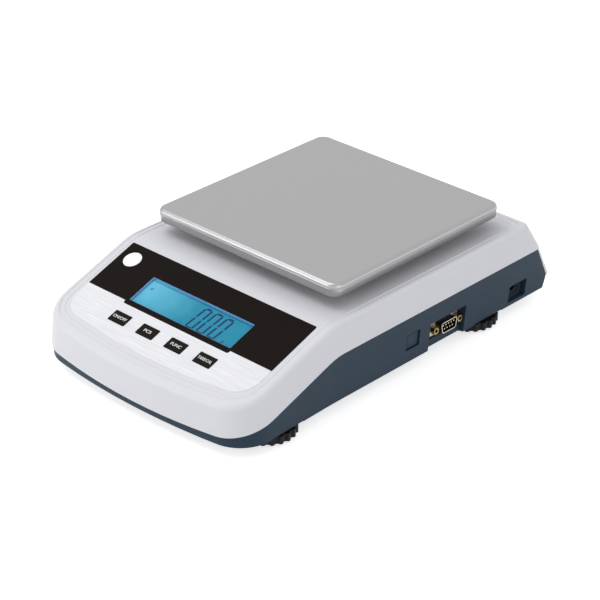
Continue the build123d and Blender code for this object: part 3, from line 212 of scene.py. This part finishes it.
def connectorMetal(name):
    # pale flange, black shell, and light rim at the shell's outer end: told apart by how far out to the right
    # they lie
    material, tree, shader, place = newMaterial(name, {"Metallic": 0.6, "Roughness": 0.4})
    x = addNode(tree, "ShaderNodeSeparateXYZ", {}, {0: place}).outputs[0]
    cloud = addNode(tree, "ShaderNodeTexNoise", {}, {
        "Vector": place, "Scale": 1 / connector["cloud"], "Detail": 3.0})
    onShell, onRim = [
        addNode(tree, "ShaderNodeMath", {"operation": "GREATER_THAN"}, {0: x, 1: connector[edge]}).outputs[0]
        for edge in ("flangeEnd", "rimStart")]
    layColours(tree, shader, connector["flange"], (cloud.outputs[0], connector["rim"]),
               (onShell, connector["shell"]), (onRim, connector["rim"]))
    return material


def clearPolyester(name, tint):
    # clear film: nearly all see-through, with a faint gloss
    return newMaterial(name, {
        "Base Color": linear(tint), "Roughness": 0.12, "Specular IOR Level": 0.2, "Alpha": 0.015})[0]


print("materials")
coverPlastic = mouldedPlastic("coverAbs", "dcdce0", "d8d8db", 0.42, 0.35)  # pale grey, satin
basePlastic = mouldedPlastic("slateAbs", "2f3f4b", "293a4a", 0.45, 0.1)  # slate blue, duller
panSteel = brushedSteel("panSteel", "b0afb0", "a6a5a7", 0.34)  # even grey with a soft bright rim
blackPlastic = mouldedPlastic("blackNylon", "17181a", "121315", 0.42, 0.2)
rubber = mouldedPlastic("blackRubber", "141414", "0f0f10", 0.7)  # matte
screwSteel = platedMetal("zincScrew", "c4c4c4", "a9a9a9", 0.3)
castAluminium = platedMetal("castAluminium", "bdbdbd", "a3a3a3", 0.45)  # dull, as cast
milledAluminium = platedMetal("milledAluminium", "cfcfd0", "bababb", 0.35)
shellMetal = platedMetal("yellowPassivatedShell", "c9b98a", "a8966a", 0.28)
goldPins = platedMetal("goldPins", "e4d9b4", "d2c090", 0.2)
brass = platedMetal("turnedBrass", "c9a765", "b08f50", 0.3)
whitePlastic = mouldedPlastic("whiteAcetal", "f2f2f0", "ebebe8", 0.4)
boardGreen = mouldedPlastic("solderMask", "1f6b3a", "185a30", 0.3)
greyRibbon = mouldedPlastic("ribbonPvc", "9a9a9c", "8c8c8e", 0.45)
plateCoat = mouldedPlastic("powderCoat", "2a2a2c", "222224", 0.55)
batteryWrap = mouldedPlastic("shrinkWrap", "2c5b96", "244d82", 0.25)  # glossy blue
gaugeFoil = mouldedPlastic("gaugeFoil", "b97b38", "a06a2c", 0.35)
sleeve = mouldedPlastic("capacitorSleeve", "1c2340", "161c34", 0.3)
blackInk = printedFilm("blackFilmInk", "17100d", "140e0b", 0.45, 0.04)  # warm black, hardly any gloss
silverInk = printedFilm("silverFilmInk", "f1f1f3", "d9d9dd", 0.4, streaked=True)  # fine streaks
lcdBlue = backlitGlass("lcdFaceBlue", "0486a2", "5cb8d4", 0.08)
lcdInk = printedFilm("lcdSegmentInk", "04396b", "053462", 0.3, 0.02)  # dark blue on the lit face
liningBlue = printedFilm("windowLiningBlue", "78b4e4", "6aa6da", 0.4, 0.1)
whiteInk = printedFilm("whiteKeyInk", "f2f2f2", "e9e9e9", 0.5)
keyBlack = mouldedPlastic("keyPolycarbonate", "17100d", "140e0b", 0.4, 0.06)  # the band's black, grained
levelWhite = mouldedPlastic("levelAcrylic", "ffffff", "fbfbfb", 0.3)  # white disc
serialMetal = connectorMetal("serialShellMetal")
jackBrass = platedMetal("jackBrass", "b59a63", "8d7544", 0.3)
grooveShade = printedFilm("grooveShade", "1d2a35", "1a2530", 0.6, 0.05)  # painted shade: the base's blue darkened, standing for the shade in the groove round the side square
windowFilm = clearPolyester("clearPolyester", "e8f4fa")

finishes = {
    "cover_plastic": coverPlastic, "base_plastic": basePlastic, "pan_steel": panSteel,
    "cast_aluminium": castAluminium, "machined_aluminium": milledAluminium, "screw_steel": screwSteel,
    "plate_steel": plateCoat, "white_plastic": whitePlastic, "dark_rubber": rubber,
    "board_green": boardGreen, "key_plastic": keyBlack, "black_plastic": blackPlastic,
    "capacitor_sleeve": sleeve, "plated_shell": shellMetal, "pin_brass": goldPins,
    "battery_wrap": batteryWrap, "lead_jacket": blackPlastic, "ribbon_grey": greyRibbon,
    "gauge_film": gaugeFoil, "insert_brass": brass, "printed_film": blackPlastic,
    "clear_film": whitePlastic, "display_glass": whitePlastic,
}
ownFinish = {
    "serial_jack_screws": jackBrass, "serial_shell": serialMetal, "level_cup": levelWhite,
    "level_lens": levelWhite,
}
for part in frame["record"]["subparts"]:
    if part["material_slot"] in finishes:
        for slot in nodes[part["node"]].material_slots:
            slot.material = ownFinish.get(part["node"], finishes[part["material_slot"]])


def finishMesh(name, mesh, material, body="housing", smooth=25):
    # a mesh object on its CAD body, doubles merged, normals outwards, smooth up to an angle in degrees
    doubles, slivers, limit = 0.002 * mm, 0.001 * mm, radians(smooth)
    work = bmesh.new()
    work.from_mesh(mesh)
    bmesh.ops.remove_doubles(work, verts=work.verts, dist=doubles)
    bmesh.ops.dissolve_degenerate(work, dist=slivers, edges=work.edges)
    bmesh.ops.recalc_face_normals(work, faces=work.faces)
    for face in work.faces:
        face.smooth = True
    for edge in work.edges:
        edge.smooth = len(edge.link_faces) == 2 and edge.calc_face_angle(0) < limit
    work.to_mesh(mesh)
    work.free()
    mesh.materials.clear()
    mesh.materials.append(material)
    piece = bpy.data.objects.new(name, mesh)
    bpy.context.scene.collection.objects.link(piece)
    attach(piece, body)
    return piece


def fromCurve(name, curve, level, material, body, matrix):
    # a filled flat curve made a mesh, lifted to the middle level of its thickness, then put in its place
    flat = bpy.data.objects.new(name + "Curve", curve)
    bpy.context.scene.collection.objects.link(flat)
    bpy.context.view_layer.update()
    mesh = bpy.data.meshes.new_from_object(flat.evaluated_get(bpy.context.evaluated_depsgraph_get()))
    bpy.data.objects.remove(flat)
    mesh.transform(matrix @ Matrix.Translation((0, 0, level * mm)))
    mesh.name = name
    return finishMesh(name, mesh, material, body)


def plate(name, outlines, bottom, top, material, matrix=Matrix()):
    # flat sheet between two levels, in mm, from closed outlines; an outline inside another is a hole
    curve = bpy.data.curves.new(name, "CURVE")
    curve.dimensions = "2D"
    curve.fill_mode = "BOTH"
    curve.extrude = (top - bottom) / 2 * mm
    for outline in outlines:
        points = np.zeros((len(outline), 4), np.float32)
        points[:, :2] = np.asarray(outline) * mm
        spline = curve.splines.new("POLY")
        spline.points.add(len(outline) - 1)
        spline.points.foreach_set("co", points.ravel())
        spline.use_cyclic_u = True
    return fromCurve(name, curve, (top + bottom) / 2, material, "housing", matrix)


letterBold = 0.008  # strokes drawn out by this share of the letters' size


def lettering(name, words, size, x, y, bottom, top, material, body, matrix, lean=0.0, width=None):
    # words as thin sheet, centred on x and y, size and place in mm, stretched to a width if one is given
    curve = bpy.data.curves.new(name, "FONT")
    curve.body = words
    curve.size = size * mm
    curve.align_x = "CENTER"
    curve.align_y = "CENTER"
    curve.shear = lean
    curve.extrude = (top - bottom) / 2 * mm
    curve.offset = letterBold * size * mm
    stretch = 1.0
    if width:
        probe = bpy.data.objects.new("probe", curve)
        bpy.context.scene.collection.objects.link(probe)
        bpy.context.view_layer.update()
        stretch = width * mm / probe.dimensions.x
        bpy.data.objects.remove(probe)
    place = Matrix.Translation((x * mm, y * mm, 0)) @ Matrix.Diagonal((stretch, 1, 1, 1))
    return fromCurve(name, curve, (top + bottom) / 2, material, body, matrix @ place)


def prisms(name, outlines, bottom, top, material, matrix):
    # upright prisms: each outline at both levels, in mm, its point i joined to point i + 1 by a side face
    points, faces, first = [], [], 0
    for outline in outlines:
        n = len(outline)
        i = np.arange(n)
        j = (i + 1) % n
        points += [np.c_[outline, np.full(n, level)] for level in (bottom, top)]
        faces += [(first + i[::-1]).tolist(), (first + n + i).tolist()]
        faces += (first + np.stack([i, j, n + j, n + i], 1)).tolist()
        first += 2 * n
    mesh = bpy.data.meshes.new(name)
    mesh.from_pydata((np.concatenate(points) * mm).tolist(), [], faces)
    mesh.transform(matrix)
    return finishMesh(name, mesh, material)


def gridMesh(name, rows, material, body="housing", closeRing=False, smooth=30):
    # skin over rows of equally many points that run round the piece, in mm; the last row may meet the first
    grid = np.asarray(rows) * mm
    m, n = grid.shape[:2]
    i, j = np.meshgrid(np.arange(m if closeRing else m - 1), np.arange(n), indexing="ij")
    here, nextRow, nextPoint = (i % m) * n, ((i + 1) % m) * n, (j + 1) % n
    corners = [here + j, here + nextPoint, nextRow + nextPoint, nextRow + j]
    faces = np.stack(corners, -1).reshape(-1, 4).tolist()
    if not closeRing:
        faces += [tuple(range(n))[::-1], tuple(range((m - 1) * n, m * n))]
    mesh = bpy.data.meshes.new(name)
    mesh.from_pydata(grid.reshape(-1, 3).tolist(), [], faces)
    return finishMesh(name, mesh, material, body, smooth)


def arc(centre, radius, start, end, steps=12):
    # points of a circle's arc: centre + radius (cos, sin), angles in degrees
    angle = np.radians(np.linspace(start, end, steps + 1))
    return np.stack([centre[0] + radius * np.cos(angle), centre[1] + radius * np.sin(angle)], 1)


def circle(centre, radius, count):
    # an arc that stops one step short of the whole turn
    return arc(centre, radius, 0, 360 - 360 / count, count - 1)


def roundedRectangle(x, y, width, height, radius):
    # four quarter arcs of 9 points joined by straight sides, anticlockwise from the lower left
    u, v = width / 2 - radius, height / 2 - radius
    corners = [(x - u, y - v, 180), (x + u, y - v, 270), (x + u, y + v, 0), (x - u, y + v, 90)]
    return np.concatenate([arc((cx, cy), radius, turn, turn + 90, 8) for cx, cy, turn in corners])


def smoothedCopy(node, material, angle):
    # a CAD node again, its loose triangles merged so that rounded faces shade as one surface
    piece = finishMesh(node + "Skin", nodes[node].data.copy(), material, nodes[node]["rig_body"], angle)
    normals = piece.modifiers.new("normals", "WEIGHTED_NORMAL")
    normals.keep_sharp = True
    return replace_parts(piece, node)


print("housing")
copies = {
    # node: finish, and the angle in degrees up to which its faces shade as one
    "top_cover": (coverPlastic, 20), "base_tray": (basePlastic, 20), "pan_support": (castAluminium, 30),
    "foot_wheel_front_left": (blackPlastic, 30), "foot_wheel_front_right": (blackPlastic, 30),
    "foot_wheel_rear_left": (blackPlastic, 30), "foot_wheel_rear_right": (blackPlastic, 30),
}
for node, (material, angle) in copies.items():
    smoothedCopy(node, material, angle)


pan = {
    # mm; everything below the top is measured down or inwards
    "y": 29.0, "half": 85.0, "corner": 8.0, "innerCorner": 1.2, "top": 87.0, "height": 9.5, "sheet": 1.0,
    "round": 2.7, "flatEdge": 0.6, "crease": 3.3, "creaseDepth": 0.45, "creaseHalf": 0.5,
    "creaseFloorHalf": 0.15, "skirtStart": 0.8, "skirtStartIn": 0.05, "skirtLean": 0.5, "lipIn": 0.25,
    "lipUp": 0.3, "insideFrom": 0.2,
}


def panOutline(inset):
    # rounded square drawn in by inset
    side = 2 * (pan["half"] - inset)
    return roundedRectangle(0, pan["y"], side, side, max(pan["corner"] - inset, pan["innerCorner"]))


def addPan():
    # one profile of (inset, level) run round the square: rolled rim, pressed crease, skirt, and back inside
    top, r, sheet, lean, edge = pan["top"], pan["round"], pan["sheet"], pan["skirtLean"], pan["flatEdge"]
    low, fold, dent = top - pan["height"], top - pan["crease"], pan["creaseDepth"]
    wide, narrow = pan["creaseHalf"], pan["creaseFloorHalf"]
    t = np.radians(np.linspace(0, 90, 9))
    rim = np.stack([r - r * np.sin(t), top - r + r * np.cos(t)], 1)
    inner = (rim[rim[:, 0] < r - pan["insideFrom"]] + [sheet, -sheet])[::-1]
    profile = np.concatenate([
        [(r + edge, top)], rim,
        [(0, fold + wide), (dent, fold + narrow), (dent, fold - narrow), (0, fold - wide)],
        [(pan["skirtStartIn"], fold - pan["skirtStart"]), (lean, low + pan["lipUp"])],
        [(lean + pan["lipIn"], low), (lean + sheet, low)], inner, [(r + sheet + edge, top - sheet)]])
    rows = []
    for inset, level in profile:
        line = panOutline(inset)
        rows.append(np.c_[line, np.full(len(line), level)])
    skin = gridMesh("weighing_panSkin", rows, panSteel, "pan", smooth=40)
    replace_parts(skin, "weighing_pan")


ridge = {
    # mm; halfWidth, nose, bow and corner are the housing's outline, and inset is how far in the ridge runs
    "inset": 9.9, "width": 1.7, "height": 0.4, "sunk": 0.02, "root": 0.15,
    "halfWidth": 99.9, "nose": -161.8, "bow": 574.0, "corner": 28.0, "back": 124.2, "backCorner": 6.0,
    "deck": 67.7, "bend": -69.606, "bendHalf": 7.0, "fall": 0.35216,
    "sidePoints": 61, "noseSteps": 48, "cornerSteps": 14, "backSteps": 8,
}


def deckLevel(y):
    # flat deck, a parabola over the bend, then the slope
    near = ridge["bend"] + ridge["bendHalf"]
    curve = -ridge["fall"] * (near - y) ** 2 / (4 * ridge["bendHalf"])
    falling = ridge["fall"] * (y - ridge["bend"])
    drop = np.where(y <= near - 2 * ridge["bendHalf"], falling, curve)
    return ridge["deck"] + np.where(y >= near, 0.0, drop)


def ridgeLine(aside):
    # the housing's outline drawn in and moved aside by a few tenths, its straight runs cut into short steps
    inset = ridge["inset"] - aside
    half, r, bow = ridge["halfWidth"] - inset, ridge["corner"] - inset, ridge["bow"] - inset
    middle = ridge["nose"] + ridge["bow"]
    cornerY = middle - ((bow - r) ** 2 - (half - r) ** 2) ** 0.5
    lean = degrees(atan2(half - r, middle - cornerY))
    back, rb = ridge["back"] + aside, ridge["backCorner"]
    rise = np.linspace(0, 1, ridge["sidePoints"])[:, None]
    rightSide = np.array([[half, cornerY]]) * (1 - rise) + np.array([[half, back - rb]]) * rise
    leftSide = rightSide[::-1] * [-1, 1]
    steps, backSteps = ridge["cornerSteps"], ridge["backSteps"]
    return np.concatenate([
        arc((0, middle), bow, 270 - lean, 270 + lean, ridge["noseSteps"]),
        arc((half - r, cornerY), r, 270 + lean, 360, steps)[1:-1], rightSide,
        arc((half - rb, back - rb), rb, 0, 90, backSteps)[1:],
        arc((rb - half, back - rb), rb, 90, 180, backSteps)[:-1], leftSide,
        arc((r - half, cornerY), r, 180, 270 - lean, steps)[1:-1]])


def addRidge():
    # half a circle of width by height, carried along the line and set a little into the cover
    rows = []
    for t in np.radians(np.linspace(0, 180, 9)):
        line = ridgeLine(ridge["width"] / 2 * cos(t))
        rows.append(np.c_[line, deckLevel(line[:, 1]) + ridge["height"] * sin(t) - ridge["sunk"]])
    line = ridgeLine(0)
    rows.append(np.c_[line, deckLevel(line[:, 1]) - ridge["root"]])
    gridMesh("coverRidge", rows, coverPlastic, closeRing=True, smooth=60)


blank = {
    # mm; halfWidth is the side wall's at the seam, from which it leans in downwards by draft, in degrees
    "halfWidth": 99.4, "seam": 46.6, "draft": 5.7, "y": 8.2, "z": 25.8, "width": 13.4, "height": 12.5,
    "lineOut": 0.15, "lineIn": 0.35, "corner": 0.3, "depth": 0.9, "proud": 0.02,
}


def addBlankPaintedShade():
    # painted shade: a dark ring round the closed square opening in the right-hand side, where a groove's shade
    # falls, laid in the leaning wall
    c, s = cos(radians(blank["draft"])), sin(radians(blank["draft"]))
    x = blank["halfWidth"] - (blank["seam"] - blank["z"]) * s / c
    wall = Matrix(((0, s, c, x * mm), (1, 0, 0, blank["y"] * mm), (0, c, -s, blank["z"] * mm), (0, 0, 0, 1)))
    ring = [
        roundedRectangle(0, 0, blank["width"] + grow, blank["height"] + grow, blank["corner"])
        for grow in (2 * blank["lineOut"], -2 * blank["lineIn"])]
    plate("blankGroovePaintedShade", ring, -blank["depth"], blank["proud"], grooveShade, wall)


addPan()
addRidge()
addBlankPaintedShade()

print("front panel")
slope = {"bend": -69.606, "level": 67.7, "angle": 19.4}  # mm, mm and degrees
film = {
    # mm on the slope, y up it from the bend
    "halfWidth": 86.8, "back": -5.6, "front": -82.4, "corner": 17.0, "bow": 574.0, "thickness": 0.25,
    "bandEdge": -50.3, "tabEdge": -52.8, "tabHalfWidth": 50.0, "tabCorner": 1.8, "backCorner": 1.0,
}
window = {
    "y": -36.3, "width": 96.1, "height": 24.3, "corner": 0.3,
    "paneBottom": 0.1, "paneTop": 0.2, "paneGap": 0.02,
}
level = {"x": -74.8, "y": -18.8, "radius": 6.95, "points": 48}
keys = {
    "y": -64.8, "pitch": 27.0, "width": 15.45, "height": 9.45, "gap": 0.15, "corner": 0.9, "top": 0.7,
    "letterSize": 3.4, "inkThickness": 0.05,
    "words": {  # what is printed on each cap, and how wide
        "key_power": ("ON/OFF", 12.3), "key_count": ("PCS", 6.6),
        "key_function": ("FUNC", 9.4), "key_tare": ("TARE/CAL", 12.6),
    },
}


def slopeMatrix():
    # along the slope: x stays, y turns up the slope, z leaves it at right angles
    c, s = cos(radians(slope["angle"])), sin(radians(slope["angle"]))
    return Matrix((
        (1, 0, 0, 0), (0, c, -s, slope["bend"] * mm), (0, s, c, slope["level"] * mm), (0, 0, 0, 1)))


def keyX(place):
    # the four keys stand in a row about the middle
    return (place - 1.5) * keys["pitch"]


def filmFront():
    # left to right: rounded corner, shallow arc through the nose, rounded corner
    half, r, front = film["halfWidth"], film["corner"], film["front"]
    drop = (film["bow"] - (film["bow"] ** 2 - half ** 2) ** 0.5) / cos(radians(slope["angle"]))
    bow = (half ** 2 + drop ** 2) / (2 * drop)
    middle = front + bow
    cornerY = middle - ((bow - r) ** 2 - (half - r) ** 2) ** 0.5
    lean = degrees(atan2(half - r, middle - cornerY))
    return np.concatenate([
        arc((r - half, cornerY), r, 180, 270 - lean), arc((0, middle), bow, 270 - lean, 270 + lean, 40)[1:-1],
        arc((half - r, cornerY), r, 270 + lean, 360)])


def bandBorder():
    # left to right: lower edge of the black band, with the tab under the display
    y, tab, u, r = film["bandEdge"], film["tabEdge"], film["tabHalfWidth"], film["tabCorner"]
    return np.concatenate([
        [(-film["halfWidth"], y), (-u, y)], arc((-u + r, tab + r), r, 180, 270, 6),
        arc((u - r, tab + r), r, 270, 360, 6), [(u, y), (film["halfWidth"], y)]])


def addFilm():
    # black band with the window and the level left out, and the silver field with the keys left out
    half, back, r = film["halfWidth"], film["back"], film["backCorner"]
    opening = roundedRectangle(0, window["y"], window["width"], window["height"], window["corner"])
    disc = circle((level["x"], level["y"]), level["radius"], level["points"])
    upper = np.concatenate([
        bandBorder(), arc((half - r, back - r), r, 0, 90, 4), arc((r - half, back - r), r, 90, 180, 4)])
    band = plate("filmBand", [upper, opening, disc], 0, film["thickness"], blackInk, slopeMatrix())
    lower = np.concatenate([filmFront(), bandBorder()[::-1]])
    width, height = keys["width"] + 2 * keys["gap"], keys["height"] + 2 * keys["gap"]
    caps = [roundedRectangle(keyX(i), keys["y"], width, height, keys["corner"]) for i in range(4)]
    field = plate("filmField", [lower] + caps, 0, film["thickness"], silverInk, slopeMatrix())
    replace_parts(band, "front_overlay")


def addWindow():
    # thin clear pane that fills the opening in the film
    w, h = window["width"] - 2 * window["paneGap"], window["height"] - 2 * window["paneGap"]
    pane = plate("windowPane", [roundedRectangle(0, window["y"], w, h, window["corner"])],
                 window["paneBottom"], window["paneTop"], windowFilm, slopeMatrix())
    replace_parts(pane, "display_window")


display = {
    # mm; levels are from the slope's surface, and the digits' x is that of their lower left corner
    "faceBottom": -2.78, "faceTop": -1.54, "faceGap": 0.05, "ink": 0.03, "corner": 0.2,
    "lining": 0.3, "liningBottom": -1.5,
    "frameLine": 0.4, "frameSide": 0.3, "frameTop": 1.2, "frameCorner": 0.3,
    "digitX": (3.9, 13.9, 24.0), "digitY": -47.1, "digitWidth": 5.8, "digitHeight": 19.2, "stroke": 1.7,
    "lean": 0.11, "barGap": 0.12, "dot": (11.9, -47.5), "dotRadius": 0.8,
    "unit": (37.1, -45.5), "unitSize": 4.6, "unitLean": 0.2, "mark": (-42.2, -32.4), "markRadius": 1.1,
    "markHole": 0.6,
}


def noughtBars(x):
    # the six outer bars of a nought at x, each with pointed ends, leaning to the right with their height
    size = np.array([display["digitWidth"], display["digitHeight"]])
    half, gap = display["stroke"] / 2, display["stroke"] * display["barGap"]
    bars = []
    for ends in (
        ((0, 1), (1, 1)), ((1, 1), (1, 0.5)), ((1, 0.5), (1, 0)),
        ((1, 0), (0, 0)), ((0, 0), (0, 0.5)), ((0, 0.5), (0, 1)),
    ):
        a, b = np.array(ends) * size
        along = (b - a) / np.linalg.norm(b - a)
        aside = np.array([-along[1], along[0]]) * half
        a, b, point = a + along * gap, b - along * gap, along * half
        bar = np.array([a, a + point + aside, b - point + aside, b, b - point - aside, a + point - aside])
        bars.append(np.stack([x + bar[:, 0] + bar[:, 1] * display["lean"], display["digitY"] + bar[:, 1]], 1))
    return bars


def addDisplay():
    # the lit face, what is inked on it, and the lining round the window's edge down to it
    tilt, w, h, y = slopeMatrix(), window["width"], window["height"], window["y"]
    top, ink = display["faceTop"], display["faceTop"] + display["ink"]
    gap = 2 * display["faceGap"]
    plate("lcdFace", [roundedRectangle(0, y, w - gap, h - gap, display["corner"])],
                  display["faceBottom"], top, lcdBlue, tilt)
    bars = [bar for x in display["digitX"] for bar in noughtBars(x)]
    bars.append(circle(display["dot"], display["dotRadius"], 12))
    prisms("lcdDigits", bars, top, ink, lcdInk, tilt)
    rings = [circle(display["mark"], display["markRadius"] * share, 24) for share in (1, display["markHole"])]
    plate("lcdSteadyMark", rings, top, ink, lcdInk, tilt)
    wide, high, middle = w - 2 * display["frameSide"], h - display["frameTop"], y - display["frameTop"] / 2
    rings = [roundedRectangle(0, middle, wide - inner, high - inner, display["frameCorner"])
             for inner in (0, 2 * display["frameLine"])]
    plate("lcdBorder", rings, top, ink, lcdInk, tilt)
    unit = lettering("lcdUnit", "g", display["unitSize"], *display["unit"], top, ink, lcdInk, "housing", tilt,
                     lean=display["unitLean"])
    rings = [roundedRectangle(0, y, w - inner, h - inner, display["corner"])
             for inner in (0, 2 * display["lining"])]
    plate("windowLining", rings, display["liningBottom"], 0.0, liningBlue, tilt)


def addKeyWords():
    # white print on each cap, which travels with it
    for i, (node, (words, width)) in enumerate(keys["words"].items()):
        piece = lettering(
            node + "_words", words, keys["letterSize"], keyX(i), keys["y"], keys["top"],
            keys["top"] + keys["inkThickness"], whiteInk, nodes[node]["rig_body"], slopeMatrix(), width=width)


addFilm()
addWindow()
addDisplay()
addKeyWords()

camera = {
    # degrees, pixels of the 600 px frame, and metres: aside and above slide the camera in its own plane
    "azimuth": 43.6839, "elevation": 28.6203, "roll": -0.145,
    "focal": 2158.5673, "imageWidth": 600, "sensor": 36.0, "clipEnd": 20,
    "distance": 1.4948208, "aside": -0.019764, "above": -0.0632417, "target": (0.0, 0.029, 0.084),
}


def addCamera():
    # back points from the target to the camera, right and up are square to it, turned by roll
    turn, rise, roll = (radians(camera[name]) for name in ("azimuth", "elevation", "roll"))
    back = Vector((sin(turn) * cos(rise), -cos(turn) * cos(rise), sin(rise)))
    flatRight = Vector((cos(turn), sin(turn), 0))
    flatUp = back.cross(flatRight)
    right = flatRight * cos(roll) + flatUp * sin(roll)
    up = flatUp * cos(roll) - flatRight * sin(roll)
    data = bpy.data.cameras.new("photoCamera")
    data.sensor_width = camera["sensor"]
    data.lens = camera["focal"] * camera["sensor"] / camera["imageWidth"]
    data.clip_end = camera["clipEnd"]
    view = bpy.data.objects.new("photoCamera", data)
    place = Vector(camera["target"]) + back * camera["distance"]
    place += right * camera["aside"] + up * camera["above"]
    view.matrix_world = Matrix((
        (right.x, up.x, back.x, place.x),
        (right.y, up.y, back.y, place.y),
        (right.z, up.z, back.z, place.z),
        (0, 0, 0, 1)))
    bpy.context.scene.collection.objects.link(view)
    bpy.context.scene.camera = view


lampAim = (0, 0, 0.05)
lamps = {
    # name: place and size in metres, watts
    "overhead": ((-0.7, -0.5, 1.9), 1.6, 13),
    "frontLeft": ((-1.2, -1.7, 0.6), 1.2, 9),
    "right": ((2.0, -0.3, 0.6), 1.2, 5),
}


def addLamps():
    # soft round lamps turned to the middle of the object
    for name, (place, size, watts) in lamps.items():
        data = bpy.data.lights.new(name, "AREA")
        data.shape = "DISK"
        data.size = size
        data.energy = watts
        lamp = bpy.data.objects.new(name, data)
        lamp.location = place
        lamp.rotation_euler = (Vector(lampAim) - Vector(place)).to_track_quat("-Z", "Y").to_euler()
        bpy.context.scene.collection.objects.link(lamp)


stage = {
    "worldColour": "f4f5f8", "worldStrength": 0.7,
    "floorColour": "f0f0f0", "floorGlow": 0.66, "floorReach": 6.0,
}


def whiteRays(tree):
    # 1 for the camera's, mirrors' and glass's rays, which see the plain bright version, 0 for every other ray
    path = addNode(tree, "ShaderNodeLightPath").outputs
    seen = addNode(tree, "ShaderNodeMath", {"operation": "MAXIMUM"}, {
        0: path["Is Camera Ray"], 1: path["Is Glossy Ray"]})
    seen = addNode(tree, "ShaderNodeMath", {"operation": "MAXIMUM"}, {
        0: seen.outputs[0], 1: path["Is Transmission Ray"]})
    return seen.outputs[0]


def addStage():
    # a soft grey-white world and a pale floor that keeps the object's shadow
    world = bpy.data.worlds.new("studio")
    bpy.context.scene.world = world
    world.use_nodes = True
    tree = world.node_tree
    tree.nodes.clear()
    soft = addNode(tree, "ShaderNodeBackground", {}, {
        "Color": linear(stage["worldColour"]), "Strength": stage["worldStrength"]})
    white = addNode(tree, "ShaderNodeBackground", {}, {"Color": linear("ffffff"), "Strength": 1.0})
    both = addNode(tree, "ShaderNodeMixShader", {}, {
        0: whiteRays(tree), 1: soft.outputs[0], 2: white.outputs[0]})
    addNode(tree, "ShaderNodeOutputWorld", {}, {"Surface": both.outputs[0]})

    mesh = bpy.data.meshes.new("floor")
    r = stage["floorReach"]
    mesh.from_pydata([(-r, -r, 0), (r, -r, 0), (r, r, 0), (-r, r, 0)], [], [(0, 1, 2, 3)])
    floor = bpy.data.objects.new("floor", mesh)
    bpy.context.scene.collection.objects.link(floor)
    material = bpy.data.materials.new("paleFloor")
    material.use_nodes = True
    tree = material.node_tree
    tree.nodes.clear()
    matte = addNode(tree, "ShaderNodeBsdfDiffuse", {}, {"Color": linear(stage["floorColour"])})
    glow = addNode(tree, "ShaderNodeEmission", {}, {
        "Color": linear("ffffff"), "Strength": stage["floorGlow"]})
    lit = addNode(tree, "ShaderNodeAddShader", {}, {0: matte.outputs[0], 1: glow.outputs[0]})
    both = addNode(tree, "ShaderNodeMixShader", {}, {
        0: whiteRays(tree), 1: matte.outputs[0], 2: lit.outputs[0]})
    addNode(tree, "ShaderNodeOutputMaterial", {}, {"Surface": both.outputs[0]})
    mesh.materials.append(material)


addCamera()
addLamps()
addStage()
bpy.context.scene.view_settings.view_transform = "Standard"
print("camera and light")
